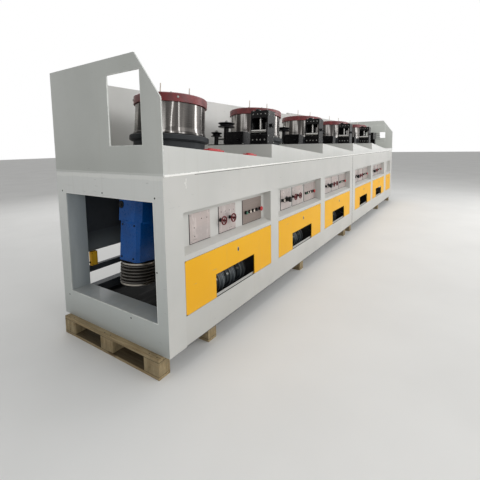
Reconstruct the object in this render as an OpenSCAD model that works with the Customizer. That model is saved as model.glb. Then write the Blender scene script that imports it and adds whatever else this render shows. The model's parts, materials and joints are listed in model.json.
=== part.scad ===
// Straight-line wire drawing machine in two sections, standing on cross timbers.
// X runs along the wire, Y from the operator's side to the rear, Z up from the floor.

/* [Machine] */
// Depth of the machine from front to rear
machine_w = 1250; // [1100:10:1400]
// Length of one drawing block along the machine
block_pitch = 1440; // [1400:10:1600]
// Flat strip after the last block of the near section
joint_strip = 50; // [40:5:120]
// Flat deck after the last block of the far section
tail_l = 950; // [900:10:1300]
// Height of the base up to the rim that carries the decks
rim_h = 1210; // [1180:5:1260]
// Height of a deck above the rim at its high end
deck_high = 194; // [170:2:230]
// Height of a deck above the rim at its low end
deck_low = 60; // [40:2:80]
// Height of the rear wall and the end plates above the rim
wall_h = 790; // [700:10:900]
// How much lower the near section's rear wall is
near_wall_drop = 30; // [10:2:60]

/* [Sheet and plate] */
// Thickness of the deck plate
deck_t = 8; // [6:1:12]
// Thickness of the folded front and rear sheets
sheet_t = 4; // [3:0.5:5]
// Thickness of the end plates
end_t = 10; // [8:1:16]
// Depth of the folded rear wall
wall_d = 40; // [30:2:60]
// Height of the rounded lip below each apron
lip_h = 14; // [10:1:15]
// How far the lip stands out from the front
lip_out = 6; // [4:1:8]
// How far the lip reaches up over the foot of the aprons
lip_rise = 4; // [3:1:5]

/* [Timbers] */
// Height of the timbers under the machine
timber_h = 144; // [120:2:180]
// Width of a timber along the machine
timber_w = 100; // [80:5:140]
// Length of a timber across the machine
timber_l = 1120; // [1000:10:1200]
// Thickness of a timber's boards
board_t = 22; // [18:1:26]
// Length of the blocks between the boards
timber_block = 145; // [100:5:180]
// How far the end timbers stand out from the machine
timber_out = 46; // [20:2:50]
// Distance of the second timber from the near end
second_timber = 520; // [400:10:700]
// Distance of the third timber from the near end
third_timber = 2300; // [2100:10:2500]
// Distance of the timbers from the joint between the sections
joint_timber = 250; // [200:10:300]
// Distance of the next timber from that joint
far_timber = 2460; // [2300:10:2600]

/* [End frames] */
// Depth of the end frames along the machine
end_frame_d = 165; // [120:5:170]
// Width of the upright beside the window at the front
jamb_front = 108; // [80:2:140]
// Width of the upright beside the window at the rear
jamb_rear = 119; // [80:1:140]
// Height of the window's sill
sill_h = 217; // [180:1:240]
// Height of the window in the end frame
end_window_h = 819; // [760:1:840]
// Height of the sloped corner of the end plates
corner_z = 305; // [200:5:400]
// Depth of the sloped corner of the end plates
corner_y = 227; // [150:1:300]
// Distance of the upper window from the front
upper_window_y = 181; // [150:1:220]
// Width of the upper window
upper_window_w = 339; // [300:1:380]
// Height of the upper window above the rim
upper_window_z = 198; // [190:1:240]
// Height of the upper window
upper_window_h = 480; // [420:5:520]
// Distance of the wire's way out from the front
exit_y = 178; // [150:1:240]
// Width of the wire's way out
exit_w = 140; // [120:5:240]
// Height of the wire's way out above the rim
exit_z = 332; // [320:1:360]
// Height of the wire's way out
exit_h = 154; // [120:1:170]

/* [Base frame] */
// Height of the bottom rails
rail_h = 160; // [140:5:180]
// Width of the bottom rails
rail_w = 80; // [60:5:100]
// Size of the posts
post_w = 70; // [50:5:80]
// Underside of the rail along the middle of the rear
mid_rail_z = 284; // [270:2:300]
// Height of that rail
mid_rail_h = 51; // [40:1:60]
// Underside of the rear sheet
rear_sheet_z = 460; // [440:5:500]

/* [Front bays] */
// Space between the end frame and the first cover's pocket
bay_edge = 1; // [1:1:20]
// Width of the strip between two bays
bay_gap = 167; // [150:1:200]
// Width of the strip between the last bay and the joint between the sections
bay_end = 158; // [140:1:200]
// Extra width of the strip before the bay in the tail
tail_bay_gap = 60; // [40:5:80]
// Width of the strip between the tail's bay and the far end frame
tail_bay_end = 28; // [20:1:80]
// Underside of the covers
cover_z = 222; // [180:1:240]
// Height of the covers
cover_h = 386; // [340:1:390]
// Depth of the covers' folded edges
cover_d = 18; // [12:1:24]
// Radius of the covers' corners
cover_r = 16; // [8:1:24]
// Gap between a cover and its opening
cover_gap = 3; // [2:0.5:5]
// Width of the lip that a cover rests against
stop_w = 14; // [10:1:20]
// Distance of the opening in a cover from its left edge
cutout_x = 342; // [300:1:400]
// Width of the opening in a cover
cutout_w = 565; // [450:5:580]
// Height of the opening in a cover
cutout_h = 182; // [150:1:200]
// Underside of the control recesses
recess_z = 650; // [640:1:700]
// Height of the control recesses
recess_h = 298; // [250:1:300]
// Depth of the control recesses
recess_d = 77; // [60:1:90]
// Rise of the sloped ledge in the recesses
ledge_h = 30; // [20:1:50]
// Radius of the lock in a cover
lock_r = 14; // [10:1:18]
// Distance of the lock from the left edge of its cover
lock_x = 650; // [600:5:700]
// Distance of the lock from the top of its cover
lock_drop = 84; // [60:1:110]

/* [Controls] */
// Thickness of the control plates
control_t = 3; // [2:0.5:5]
// Gap below the control plates
plate_foot = 4; // [2:1:10]
// Gap above the control plates
plate_head = 44; // [20:1:60]
// Distance of the left control plate from the bay's start
plate_edge = 138; // [120:1:160]
// Width of the first bay's left control plate
left_plate_w = 236; // [200:1:300]
// Distance of the middle control plate from the bay's start
mid_plate_x = 488; // [480:1:500]
// Width of the first bay's middle control plate
mid_plate_w = 238; // [220:1:300]
// Distance of the right control plate from the bay's start
right_plate_x = 840; // [830:1:850]
// Width of the first bay's right control plate
right_plate_w = 333; // [330:1:340]
// Distance of the plate with the dial from the bay's start
dial_plate_x = 198; // [160:1:220]
// Gap between the wide control plates of the later bays
wide_gap = 35; // [20:1:60]
// Distance of the last wide control plate from the bay's end
wide_edge = 8; // [5:1:20]
// Radius of a handwheel
handwheel_r = 38; // [28:1:42]
// Height of the handwheels above the recess's ledge
valve_z = 113; // [90:1:150]
// Distance of the first handwheel from its plate's edge
valve_x = 18; // [14:1:70]
// Distance from one handwheel to the next
valve_pitch = 133; // [100:1:160]
// Distance of the first push button from its plate's edge
button_x = 50; // [30:1:60]
// Radius of a push button
button_r = 17; // [11:1:20]
// Distance from one push button to the next
button_pitch = 62; // [50:1:64]
// Number of push buttons in a row
button_count = 5; // [3:1:5]
// Radius of the stop button at the end of a row
stop_r = 22; // [18:1:24]
// Height of the push buttons above the recess's ledge
button_z = 105; // [90:1:130]
// Radius of a small dial
gauge_r = 22; // [16:1:24]
// Distance of the small dial from its plate's edge
gauge_x = 26; // [25:1:40]
// Radius of a large dial
dial_r = 30; // [24:1:36]
// Distance of the large dial from its plate's edge
dial_x = 140; // [100:1:180]
// Height of the dials above the recess's ledge
gauge_z = 110; // [90:1:130]

/* [Drums] */
// Distance of the drum axis from the block's start, along the deck
drum_x = 655; // [640:5:700]
// Distance of the drum axis from the front
drum_y = 598; // [580:2:620]
// Radius of the drum
drum_r = 300; // [280:5:310]
// Radius of the red rim
drum_rim_r = 314; // [302:1:320]
// Height of the red rim
drum_rim_h = 68; // [50:1:80]
// Height of the drum
drum_h = 318; // [280:2:340]
// Thickness of the drum wall
drum_wall = 18; // [12:1:24]
// How far the drum's foot flares out
flare = 10; // [6:1:20]
// Radius of the drum's hub
hub_r = 95; // [80:1:120]
// Radius of the drum shaft
shaft_r = 55; // [40:1:65]
// Radial clearance of the shaft in its bearing
shaft_gap = 0.05; // [0.03:0.01:0.1]
// Radius of the fixed base below a drum
base_r = 340; // [330:2:360]
// Height of that base
base_h = 135; // [110:1:160]
// Width of the base's foot flange inside its edge
foot_inset = 22; // [16:1:30]
// Gap between a drum and its base
drum_gap = 8; // [5:1:12]
// Clearance under what stands on a deck
seat_gap = 0.05; // [0.02:0.01:0.2]

/* [Drive] */
// Distance of the motor axis from the block's start, along the deck
motor_x = 393; // [385:1:400]
// Distance of the motor axis from the front
motor_y = 645; // [620:5:660]
// Width of the motor's upper part
motor_top_w = 270; // [240:2:280]
// Depth of the motor's upper part below the deck
motor_top_h = 560; // [500:5:600]
// Width of the motor's lower part
motor_w = 234; // [200:2:240]
// Depth of the motor's lower part
motor_h = 320; // [280:5:340]
// Radius of the round flange between the motor's parts
flange_r = 138; // [126:1:142]
// Thickness of that flange
flange_t = 18; // [12:1:24]
// Radius of the motor shaft
motor_shaft_r = 24; // [20:1:32]
// Radial clearance of the pulley on the motor shaft
pulley_gap = 0.05; // [0.03:0.01:0.1]
// Radius of the motor pulley
pulley_r = 140; // [110:1:142]
// Number of belts
belt_count = 6; // [4:1:7]
// Distance from one belt to the next
belt_pitch = 25; // [22:1:28]
// Depth of the belt grooves
groove_d = 16; // [10:1:18]
// Space between the gear box's flange and the motor
flange_gap = 7; // [5:1:12]
// Width of the gear box below a drum
gearbox_w = 360; // [300:5:400]
// Radius of the air duct's bulges
duct_r = 125; // [100:1:130]
// Distance from one bulge to the next
duct_pitch = 165; // [140:1:190]
// Number of bulges
duct_count = 5; // [3:1:5]

/* [Wire guides] */
// Distance of the die box from the block's start, along the deck
die_x = 40; // [30:2:60]
// Distance of the die box from the front
die_y = 80; // [60:2:100]
// Length of the die box along the machine
die_l = 150; // [130:2:180]
// Depth of the die box
die_w = 200; // [180:2:220]
// Height of the die box with its cage
die_h = 345; // [300:5:380]
// Height of the box below the cage
die_base_h = 112; // [100:2:116]
// Height of the cage's roof
die_roof_h = 72; // [50:2:90]
// Thickness of the cage's walls
die_wall = 14; // [10:1:18]
// Radius of the upright guide rollers
roller_r = 13; // [9:1:16]
// Distance of the upright rollers from the middle between them
roller_spread = 41; // [34:1:44]
// Gap between an upright roller and the cage's wall
roller_gap = 2; // [1:0.5:4]
// Radius of the lying guide roller
lying_roller_r = 18; // [14:1:20]
// Gap below the lying guide roller
lying_gap = 8; // [4:1:12]
// Distance of the guide sheave from the block's start, along the deck
guide_x = 115; // [110:1:130]
// Distance of the guide sheave from the front
guide_y = 640; // [620:2:660]
// Radius of the guide sheave
sheave_r = 92; // [70:1:95]
// Width of the guide sheaves
sheave_w = 46; // [36:1:56]
// Height of the upper sheave above the deck
sheave_z = 205; // [190:1:240]
// Height of the lower sheave above the deck
low_sheave_z = 105; // [90:1:125]
// Distance from the upper sheave to the lower one, across the machine
low_sheave_y = 135; // [120:1:150]
// Radius of the lower sheave
low_sheave_r = 62; // [50:1:66]
// Radius of the sheave pins
sheave_pin_r = 16; // [12:1:20]
// Radial clearance of the sheaves on their pins
sheave_gap = 0.05; // [0.03:0.01:0.1]
// Length of the guide unit's box along the machine
guide_box_l = 150; // [130:2:160]
// Depth of the guide unit's box
guide_box_w = 215; // [190:5:230]
// Height of the guide unit's box
guide_box_h = 138; // [120:2:150]
// Thickness of the guide unit's foot plate
guide_foot_t = 12; // [8:1:16]

/* [Straightener] */
// Distance of the straightener's middle from the front
rod_y = 300; // [280:2:330]
// Width of its body across the machine
straight_w = 100; // [80:2:120]
// Length of its body along the machine
straight_l = 320; // [280:5:400]
// How far its body reaches back over the last block
straight_back = 170; // [100:10:200]
// Side of its square leg
leg_side = 100; // [80:2:120]
// Radius of its rods
rod_r = 8; // [6:1:12]
// Number of rods, one above the other
rod_count = 4; // [2:1:4]
// Height of the lowest rod above the tail deck
rod_z = 242; // [220:2:260]
// Distance from one rod to the next
rod_pitch = 45; // [36:1:50]
// Distance of the rods' ends from the far end
rod_end = 85; // [60:5:120]
// Body above the top rod and below the lowest one
rod_cover = 4; // [2:1:10]

/* [Hidden] */
$fn = 48;
blocks_near = 3;
blocks_far = 2;
eps = 1;
near_l = blocks_near * block_pitch + joint_strip;
far_l = blocks_far * block_pitch + tail_l;
machine_l = near_l + far_l;
high_z = rim_h + deck_high;
low_z = rim_h + deck_low;
top_z = rim_h + wall_h;
deck_slope = (high_z - low_z) / block_pitch;
deck_tilt = atan(deck_slope);
deck_drop = deck_t / cos(deck_tilt);
front_y = lip_out;
rear_y = machine_w - wall_d;
bay_first = end_frame_d + bay_edge + cover_gap + sheet_t;
bay_w = (near_l - bay_first - bay_end - (blocks_near - 1) * bay_gap) / blocks_near;
bay_pitch = bay_w + bay_gap;
block_starts = concat(
    [for (k = [0:blocks_near - 1]) k * block_pitch],
    [for (k = [0:blocks_far - 1]) near_l + k * block_pitch]
);
block_last = len(block_starts) - 1;
bays_near = [for (k = [0:blocks_near - 1]) [bay_first + k * bay_pitch, bay_w]];
tail_bay_x = near_l + bay_first + blocks_far * bay_pitch + tail_bay_gap;
tail_bay_w = machine_l - end_frame_d - tail_bay_end - tail_bay_x;
bays_far = concat(
    [for (k = [0:blocks_far - 1]) [near_l + bay_first + k * bay_pitch, bay_w]],
    [[tail_bay_x, tail_bay_w]]
);
bays = concat(bays_near, bays_far);
full_bays = [for (b = bays) if (b[1] == bay_w) b];
timber_places = [
    timber_w / 2 - timber_out, second_timber, third_timber, near_l - joint_timber,
    near_l + timber_w, near_l + far_timber, machine_l - timber_w / 2 + timber_out
];
gap_places = [for (k = [1:blocks_near - 1]) bay_first + k * bay_pitch - bay_gap / 2];
tail_gap_x = (bays_far[blocks_far - 1][0] + bay_w + tail_bay_x) / 2;
gap_places_far = concat(
    [for (k = [1:blocks_far - 1]) near_l + bay_first + k * bay_pitch - bay_gap / 2], [tail_gap_x]
);
tray_t = 3;
tray_z = rail_h / 2;
pulley_drop = 10;
pulley_cheek = 12;
pulley_top = -deck_t - motor_top_h - motor_h - pulley_drop;
pulley_h = belt_count * belt_pitch + 2 * pulley_cheek;
belt_out = 4;
belt_gap = 0.5;
guard_gap = 24;
guard_x = motor_x + pulley_r + guard_gap;
guard_top = pulley_top + guard_gap;
guard_low = pulley_top - pulley_h - 6;
drum_z = base_h + drum_gap;
shaft_room = 20;
neck_h = 180;
duct_y = front_y + sheet_t + rail_w + duct_r + 60;
bearing_depth = 90;
plate_h = recess_h - ledge_h - plate_foot - plate_head;
first_plates = [[plate_edge, left_plate_w], [mid_plate_x, mid_plate_w], [right_plate_x, right_plate_w]];
wide_plates = [
    [dial_plate_x, mid_plate_x - wide_gap - dial_plate_x],
    [mid_plate_x, right_plate_x - wide_gap - mid_plate_x],
    [right_plate_x, bay_w - wide_edge - right_plate_x]
];
die_room_h = die_h - die_base_h - die_roof_h;
roller_mid = die_y + die_wall + roller_gap + roller_r + roller_spread;
lying_roller_z = die_base_h + lying_roller_r + lying_gap;

// Places its children in the machine's own frame: near end, front, underside
module machine() {
    translate([-machine_l / 2, -machine_w / 2, timber_h]) children();
}

// Places its children on the deck of block k, with z square to the deck
module on_deck(k) {
    machine() translate([block_starts[k], 0, high_z]) rotate([0, deck_tilt, 0]) children();
}

// Places what stands on the deck of block k
module upon_deck(k) {
    on_deck(k) translate([0, 0, seat_gap]) children();
}

// Extrudes a profile drawn in x and z between two values of y
module along_y(y0, y1) {
    translate([0, y1, 0]) rotate([90, 0, 0]) linear_extrude(y1 - y0) children();
}

// Extrudes a profile drawn in y and z between two values of x
module along_x(x0, x1) {
    translate([x0, 0, 0]) rotate([90, 0, 90]) linear_extrude(x1 - x0) children();
}

// Rectangle with rounded corners
module rounded(w, h, r) {
    translate([r, 0]) square([w - 2 * r, h]);
    translate([0, r]) square([w, h - 2 * r]);
    for (x = [r, w - r], z = [r, h - r]) translate([x, z]) circle(r);
}

module timber() {
    blocks = [0, (timber_l - timber_block) / 2, timber_l - timber_block];
    cube([timber_w, timber_l, board_t]);
    for (y = blocks) translate([0, y, 0]) cube([timber_w, timber_block, timber_h]);
    translate([0, 0, timber_h - board_t]) cube([timber_w, timber_l, board_t]);
}

module timbers() {
    color("burlywood") machine() for (x = timber_places)
        translate([x - timber_w / 2, (machine_w - timber_l) / 2, -timber_h]) timber();
}

// Bottom rails, rear middle rails and cross members of one section
module section_rails(x0, length, crossings) {
    inner_w = machine_w - front_y - sheet_t - rail_w * 2;
    for (y = [front_y + sheet_t, machine_w - rail_w])
        translate([x0, y, 0]) cube([length, rail_w, rail_h]);
    translate([x0, machine_w - rail_w / 2, mid_rail_z]) cube([length, rail_w / 2, mid_rail_h]);
    for (x = crossings)
        translate([x, front_y + sheet_t + rail_w, 0]) cube([rail_w, inner_w, rail_h / 2]);
}

module base_rails() {
    near_x = [for (x = gap_places) x - rail_w / 2];
    far_x = [for (x = gap_places_far) x - rail_w / 2];
    color("darkgray") machine() {
        section_rails(end_frame_d, near_l - end_frame_d, concat([end_frame_d], near_x, [near_l - rail_w]));
        section_rails(near_l, far_l - end_frame_d, concat([near_l], far_x, [machine_l - end_frame_d - rail_w]));
    }
}

// Sheet floors lying on the cross members
module floor_trays() {
    y0 = front_y + sheet_t + rail_w;
    color("gray") machine() for (s = [[end_frame_d, near_l], [near_l, machine_l - end_frame_d]])
        translate([s[0], y0, tray_z]) cube([s[1] - s[0] - 1, machine_w - rail_w - y0, tray_t]);
}

module post(x, y) {
    translate([x - post_w / 2, y, rail_h]) cube([post_w, post_w, rim_h - rail_h]);
}

module posts() {
    stops = concat(gap_places, [near_l - post_w / 2, near_l + post_w / 2], gap_places_far);
    color("darkgray") machine() for (x = stops) {
        post(x, front_y + sheet_t);
        post(x, machine_w - rail_w / 2 - post_w);
    }
}

module end_frame() {
    window_w = machine_w - jamb_front - jamb_rear;
    along_x(0, end_frame_d) difference() {
        translate([front_y, 0]) square([machine_w - front_y, rim_h]);
        translate([jamb_front, sill_h]) square([window_w, end_window_h]);
    }
}

module end_frames() {
    color("lightgray") machine() {
        end_frame();
        translate([machine_l - end_frame_d, 0, 0]) end_frame();
    }
}

module end_plate_outline() {
    polygon([
        [0, rim_h], [machine_w, rim_h], [machine_w, top_z], [corner_y, top_z], [0, top_z - corner_z]
    ]);
}

module end_plates() {
    color("lightgray") machine() {
        along_x(0, end_t) difference() {
            end_plate_outline();
            translate([upper_window_y, rim_h + upper_window_z]) square([upper_window_w, upper_window_h]);
        }
        along_x(machine_l - end_t, machine_l) difference() {
            end_plate_outline();
            translate([exit_y, rim_h + exit_z]) square([exit_w, exit_h]);
        }
    }
}

// Folded pan behind a control recess, with a sloped ledge
module recess_pan(x, w) {
    translate([x - sheet_t, front_y, 0]) along_x(0, w + 2 * sheet_t) polygon([
        [0, recess_z - sheet_t], [recess_d + sheet_t, recess_z + ledge_h - sheet_t],
        [recess_d + sheet_t, recess_z + recess_h + sheet_t], [0, recess_z + recess_h + sheet_t]
    ]);
}

module recess_hollow(x, w) {
    translate([x, front_y, 0]) along_x(0, w) polygon([
        [-eps, recess_z - eps * ledge_h / recess_d], [recess_d, recess_z + ledge_h],
        [recess_d, recess_z + recess_h], [-eps, recess_z + recess_h]
    ]);
}

// Folded pocket that a cover sits in
module cover_pocket(x, w) {
    outer = cover_gap + sheet_t;
    translate([x - outer, front_y, cover_z - outer])
        cube([w + 2 * outer, cover_d + sheet_t, cover_h + 2 * outer]);
}

module cover_hollow(x, w) {
    translate([x - cover_gap, front_y - eps, cover_z - cover_gap])
        cube([w + 2 * cover_gap, cover_d + eps, cover_h + 2 * cover_gap]);
    translate([x + stop_w, front_y, cover_z + stop_w])
        cube([w - 2 * stop_w, cover_d + sheet_t + eps, cover_h - 2 * stop_w]);
}

module front_panel(x0, x1, section_bays) {
    panel_low = 8;
    difference() {
        union() {
            translate([x0, front_y, panel_low]) cube([x1 - x0, sheet_t, rim_h - panel_low]);
            for (b = section_bays) {
                recess_pan(b[0], b[1]);
                cover_pocket(b[0], b[1]);
            }
        }
        for (b = section_bays) {
            recess_hollow(b[0], b[1]);
            cover_hollow(b[0], b[1]);
        }
    }
}

module front_panels() {
    color("gainsboro") machine() {
        front_panel(end_frame_d, near_l - 1, bays_near);
        front_panel(near_l + 1, machine_l - end_frame_d, bays_far);
    }
}

module rear_panels() {
    color("lightgray") machine() for (s = [[end_frame_d, near_l - 1], [near_l + 1, machine_l - end_frame_d]])
        translate([s[0], machine_w - sheet_t, rear_sheet_z])
            cube([s[1] - s[0], sheet_t, rim_h - rear_sheet_z]);
}

// Half-round nose along a section's front, at the foot of its aprons
module lip(x0, x1) {
    nose_r = lip_h / 2;
    nose_z = rim_h + lip_rise - nose_r;
    along_x(x0, x1) {
        intersection() {
            translate([nose_r, nose_z]) circle(nose_r);
            translate([0, nose_z - nose_r]) square([front_y, lip_h]);
        }
        translate([front_y - 1, rim_h]) square([deck_t, lip_rise - 2]);
    }
}

// Stepped decks of one section with aprons and risers, open below
module deck(x0, x1, starts, strip) {
    first = starts[0];
    last = starts[len(starts) - 1];
    outline = concat(
        [[x0, rim_h], [x0, high_z - (x0 - first) * deck_slope]],
        [for (k = [1:len(starts) - 1], z = [low_z, high_z]) [starts[k], z]],
        [[last + block_pitch, low_z], [x1, low_z], [x1, rim_h]]
    );
    difference() {
        union() {
            along_y(front_y, rear_y) polygon(outline);
            lip(x0, x1);
        }
        for (k = [0:len(starts) - 1]) {
            a = max(starts[k], x0) + deck_t;
            b = starts[k] + block_pitch;
            roof = high_z - deck_drop;
            along_y(front_y + deck_t, rear_y - deck_t) polygon([
                [a, rim_h - eps], [a, roof - (a - starts[k]) * deck_slope],
                [b, low_z - deck_drop], [b, rim_h - eps]
            ]);
            translate([starts[k], 0, high_z]) rotate([0, deck_tilt, 0])
                translate([drum_x, drum_y, -2 * deck_t]) cylinder(r = shaft_r + shaft_room, h = 4 * deck_t);
        }
        translate([last + block_pitch - eps, front_y + deck_t, rim_h - eps])
            cube([strip - deck_t + eps, rear_y - front_y - 2 * deck_t, deck_low - deck_drop + eps]);
    }
}

module deck_near() {
    starts = [for (k = [0:blocks_near - 1]) block_starts[k]];
    color("whitesmoke") machine() deck(end_t, near_l - 1, starts, joint_strip - 1);
}

module deck_far() {
    starts = [for (k = [blocks_near:block_last]) block_starts[k]];
    color("whitesmoke") machine() deck(near_l + 1, machine_l - end_t, starts, tail_l - end_t);
}

module rear_walls() {
    color("whitesmoke") machine() {
        translate([end_t, rear_y, rim_h]) cube([near_l - 1 - end_t, wall_d, wall_h - near_wall_drop]);
        translate([near_l + 1, rear_y, rim_h]) cube([far_l - 1 - end_t, wall_d, wall_h]);
    }
}

// Folded cover with rounded corners and, in the full bays, an opening at its foot
module cover(x, w) {
    open = w == bay_w;
    difference() {
        along_y(0, cover_d) translate([x, cover_z]) rounded(w, cover_h, cover_r);
        translate([x + sheet_t, sheet_t, cover_z + sheet_t])
            cube([w - 2 * sheet_t, cover_d, cover_h - 2 * sheet_t]);
        if (open) translate([x + cutout_x, -eps, cover_z - eps])
            cube([cutout_w, cover_d + 2 * eps, cutout_h + eps]);
    }
}

module front_covers() {
    color("goldenrod") machine() for (b = bays) translate([0, front_y, 0]) cover(b[0], b[1]);
}

module cover_locks() {
    color("dimgray") machine() for (b = bays)
        translate([b[0] + (b[1] == bay_w ? lock_x : b[1] / 2), front_y, cover_z + cover_h - lock_drop])
            rotate([90, 0, 0]) cylinder(r = lock_r, h = lip_out - 2);
}

// Frame at the back plate of the recess in bay b
module on_recess(b) {
    translate([b[0], front_y + recess_d, recess_z + ledge_h]) children();
}

module control_plate(x, w) {
    translate([x, -control_t, plate_foot]) cube([w, control_t, plate_h]);
}

module control_plates() {
    color("silver") machine() {
        for (p = first_plates) on_recess(bays[0]) control_plate(p[0], p[1]);
        for (k = [1:len(full_bays) - 1], p = wide_plates) on_recess(full_bays[k]) control_plate(p[0], p[1]);
        on_recess(bays[len(bays) - 1]) control_plate(plate_edge, tail_bay_w - 2 * plate_edge);
    }
}

module handwheel() {
    rim_bar = 6;
    stem_h = 58;
    wheel_z = 48;
    rotate([90, 0, 0]) {
        cylinder(r = 12, h = 20);
        cylinder(r = 7, h = stem_h);
        translate([0, 0, wheel_z - 6]) cylinder(r = 11, h = 12);
        translate([0, 0, wheel_z]) rotate_extrude() translate([handwheel_r - rim_bar, 0]) circle(rim_bar, $fn = 16);
        for (a = [0:60:150]) rotate([0, 0, a])
            translate([-handwheel_r + rim_bar, -3, wheel_z - 3]) cube([2 * (handwheel_r - rim_bar), 6, 6]);
    }
}

module valves() {
    color("firebrick") machine() for (b = full_bays, i = [0:1]) on_recess(b)
        translate([mid_plate_x + valve_x + i * valve_pitch, -control_t, valve_z]) handwheel();
}

module push_buttons() {
    first = right_plate_x + button_x;
    bezel_t = 10;
    cap_h = 22;
    last = button_count - 1;
    color("darkgreen") machine() for (b = full_bays, i = [0:last]) on_recess(b)
        translate([first + i * button_pitch, -control_t, button_z]) rotate([90, 0, 0]) {
            cylinder(r = button_r, h = bezel_t);
            cylinder(r = button_r - 4, h = cap_h);
            if (i == last) translate([0, 0, cap_h]) cylinder(r1 = stop_r, r2 = stop_r - 6, h = bezel_t);
        }
}

module gauges() {
    body_h = 34;
    face_h = 4;
    dial_h = 60;
    dials = [[gauge_x, gauge_r, body_h], [dial_x, dial_r, dial_h]];
    color("black") machine() for (k = [1:len(full_bays) - 1], d = dials) on_recess(full_bays[k])
        translate([dial_plate_x + d[0], -control_t, gauge_z]) rotate([90, 0, 0]) {
            cylinder(r = d[1], h = d[2]);
            translate([0, 0, d[2]]) cylinder(r = d[1] - 6, h = face_h);
        }
}

module drum_bases() {
    bore_r = shaft_r + shaft_room;
    foot_r = base_r - foot_inset;
    waist_r = foot_r - 12;
    shoulder = base_h - 40;
    color("dimgray") for (k = [0:block_last]) upon_deck(k) translate([drum_x, drum_y, 0])
        rotate_extrude($fn = 96) polygon([
            [bore_r, 0], [foot_r, 0], [foot_r, 12], [waist_r, 20], [waist_r, shoulder - 12],
            [foot_r + 10, shoulder - 8], [foot_r + 10, shoulder - 4],
            [base_r, shoulder], [base_r, base_h - 6], [base_r - 6, base_h], [bore_r, base_h]
        ]);
}

// Drum with its flared foot, red rim, hub and shaft
module drum(k) {
    web_z = drum_h - 44;
    web_t = 16;
    shaft_z = -drum_z - deck_t - bearing_depth + 10;
    rim_z = drum_h - drum_rim_h;
    inner_r = drum_r - 30;
    on_deck(k) translate([drum_x, drum_y, drum_z]) rotate_extrude($fn = 96) polygon([
        [0, shaft_z], [shaft_r, shaft_z], [shaft_r, 20], [hub_r, 20], [hub_r, web_z],
        [drum_r - drum_wall, web_z], [drum_r - drum_wall, 0], [drum_r + flare, 0], [drum_r + flare, 10],
        [drum_r + flare / 3, 20], [drum_r + 2, 32], [drum_r, 50], [drum_r - 2, rim_z],
        [drum_rim_r, rim_z], [drum_rim_r, drum_h - 8], [drum_rim_r - 8, drum_h],
        [inner_r, drum_h], [inner_r, web_z + web_t], [0, web_z + web_t]
    ]);
}

module drum_1() {
    color("silver") drum(0);
}

module drum_2() {
    color("silver") drum(1);
}

module drum_3() {
    color("silver") drum(2);
}

module drum_4() {
    color("silver") drum(3);
}

module drum_5() {
    color("silver") drum(4);
}

// Box with a cage above it, open towards the wire and slotted at the back
module die_box() {
    slot_h = 90;
    translate([die_x, die_y, 0]) difference() {
        cube([die_l, die_w, die_h]);
        translate([-eps, die_wall, die_base_h]) cube([die_l - die_wall + eps, die_w - 2 * die_wall, die_room_h]);
        translate([die_l / 2, roller_mid - die_y - roller_spread + roller_r, lying_roller_z + lying_roller_r])
            cube([die_l, 2 * (roller_spread - roller_r), slot_h]);
    }
}

module die_boxes() {
    color("black") for (k = [1:block_last]) upon_deck(k) die_box();
}

module die_rollers() {
    set_back = 24;
    color("silver") for (k = [1:block_last]) upon_deck(k) translate([die_x + set_back, 0, 0]) {
        for (side = [-1, 1]) translate([2 * roller_r, roller_mid + side * roller_spread, die_base_h])
            cylinder(r = roller_r, h = die_room_h);
        translate([-set_back / 2, die_y + die_wall, lying_roller_z]) rotate([-90, 0, 0])
            cylinder(r = lying_roller_r, h = die_w - 2 * die_wall);
    }
}

// Carrier of the two guide sheaves: box, column and bracket with its foot
module guide_stand() {
    low_y = guide_y + low_sheave_y;
    box_x = guide_x - guide_box_l / 2;
    box_y = guide_y - guide_box_w - 55;
    pin_over = 12;
    arm_w = 40;
    arm_t = 14;
    column_r = 28;
    foot_edge = 10;
    foot_w = low_y + 55 - box_y + foot_edge;
    translate([box_x, box_y, 0]) cube([guide_box_l, guide_box_w, guide_box_h]);
    translate([box_x - foot_edge, box_y - foot_edge, 0]) cube([guide_box_l + 2 * foot_edge, foot_w, guide_foot_t]);
    translate([guide_x, guide_y, 0]) cylinder(r = column_r, h = sheave_z - 2);
    translate([guide_x, guide_y, 0]) cylinder(r = sheave_pin_r, h = sheave_z + sheave_w + pin_over);
    translate([guide_x - arm_w / 2, box_y + guide_box_w - eps, low_sheave_z - 36])
        cube([arm_w, low_y - box_y - guide_box_w, arm_t]);
    translate([guide_x, low_y, 0]) cylinder(r = column_r - 4, h = low_sheave_z - 2);
    translate([guide_x, low_y, 0]) cylinder(r = sheave_pin_r, h = low_sheave_z + sheave_w + pin_over);
}

module guide_stands() {
    color("black") for (k = [1:block_last]) upon_deck(k) guide_stand();
}

// Grooved sheave with a bored hub
module sheave(r) {
    bore = sheave_pin_r + sheave_gap;
    edge_t = 7;
    bottom_r = r - 22;
    half_w = sheave_w / 2;
    rotate_extrude() polygon([
        [bore, 0], [r, 0], [r, edge_t], [bottom_r, half_w - 4], [bottom_r, half_w + 4],
        [r, sheave_w - edge_t], [r, sheave_w], [bore, sheave_w]
    ]);
}

module guide_sheave(k) {
    color("black") upon_deck(k) translate([guide_x, guide_y, sheave_z]) sheave(sheave_r);
}

module low_sheave(k) {
    color("black") upon_deck(k) translate([guide_x, guide_y + low_sheave_y, low_sheave_z]) sheave(low_sheave_r);
}

module guide_sheave_2() {
    guide_sheave(1);
}

module guide_sheave_3() {
    guide_sheave(2);
}

module guide_sheave_4() {
    guide_sheave(3);
}

module guide_sheave_5() {
    guide_sheave(4);
}

module low_sheave_2() {
    low_sheave(1);
}

module low_sheave_3() {
    low_sheave(2);
}

module low_sheave_4() {
    low_sheave(3);
}

module low_sheave_5() {
    low_sheave(4);
}

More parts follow.
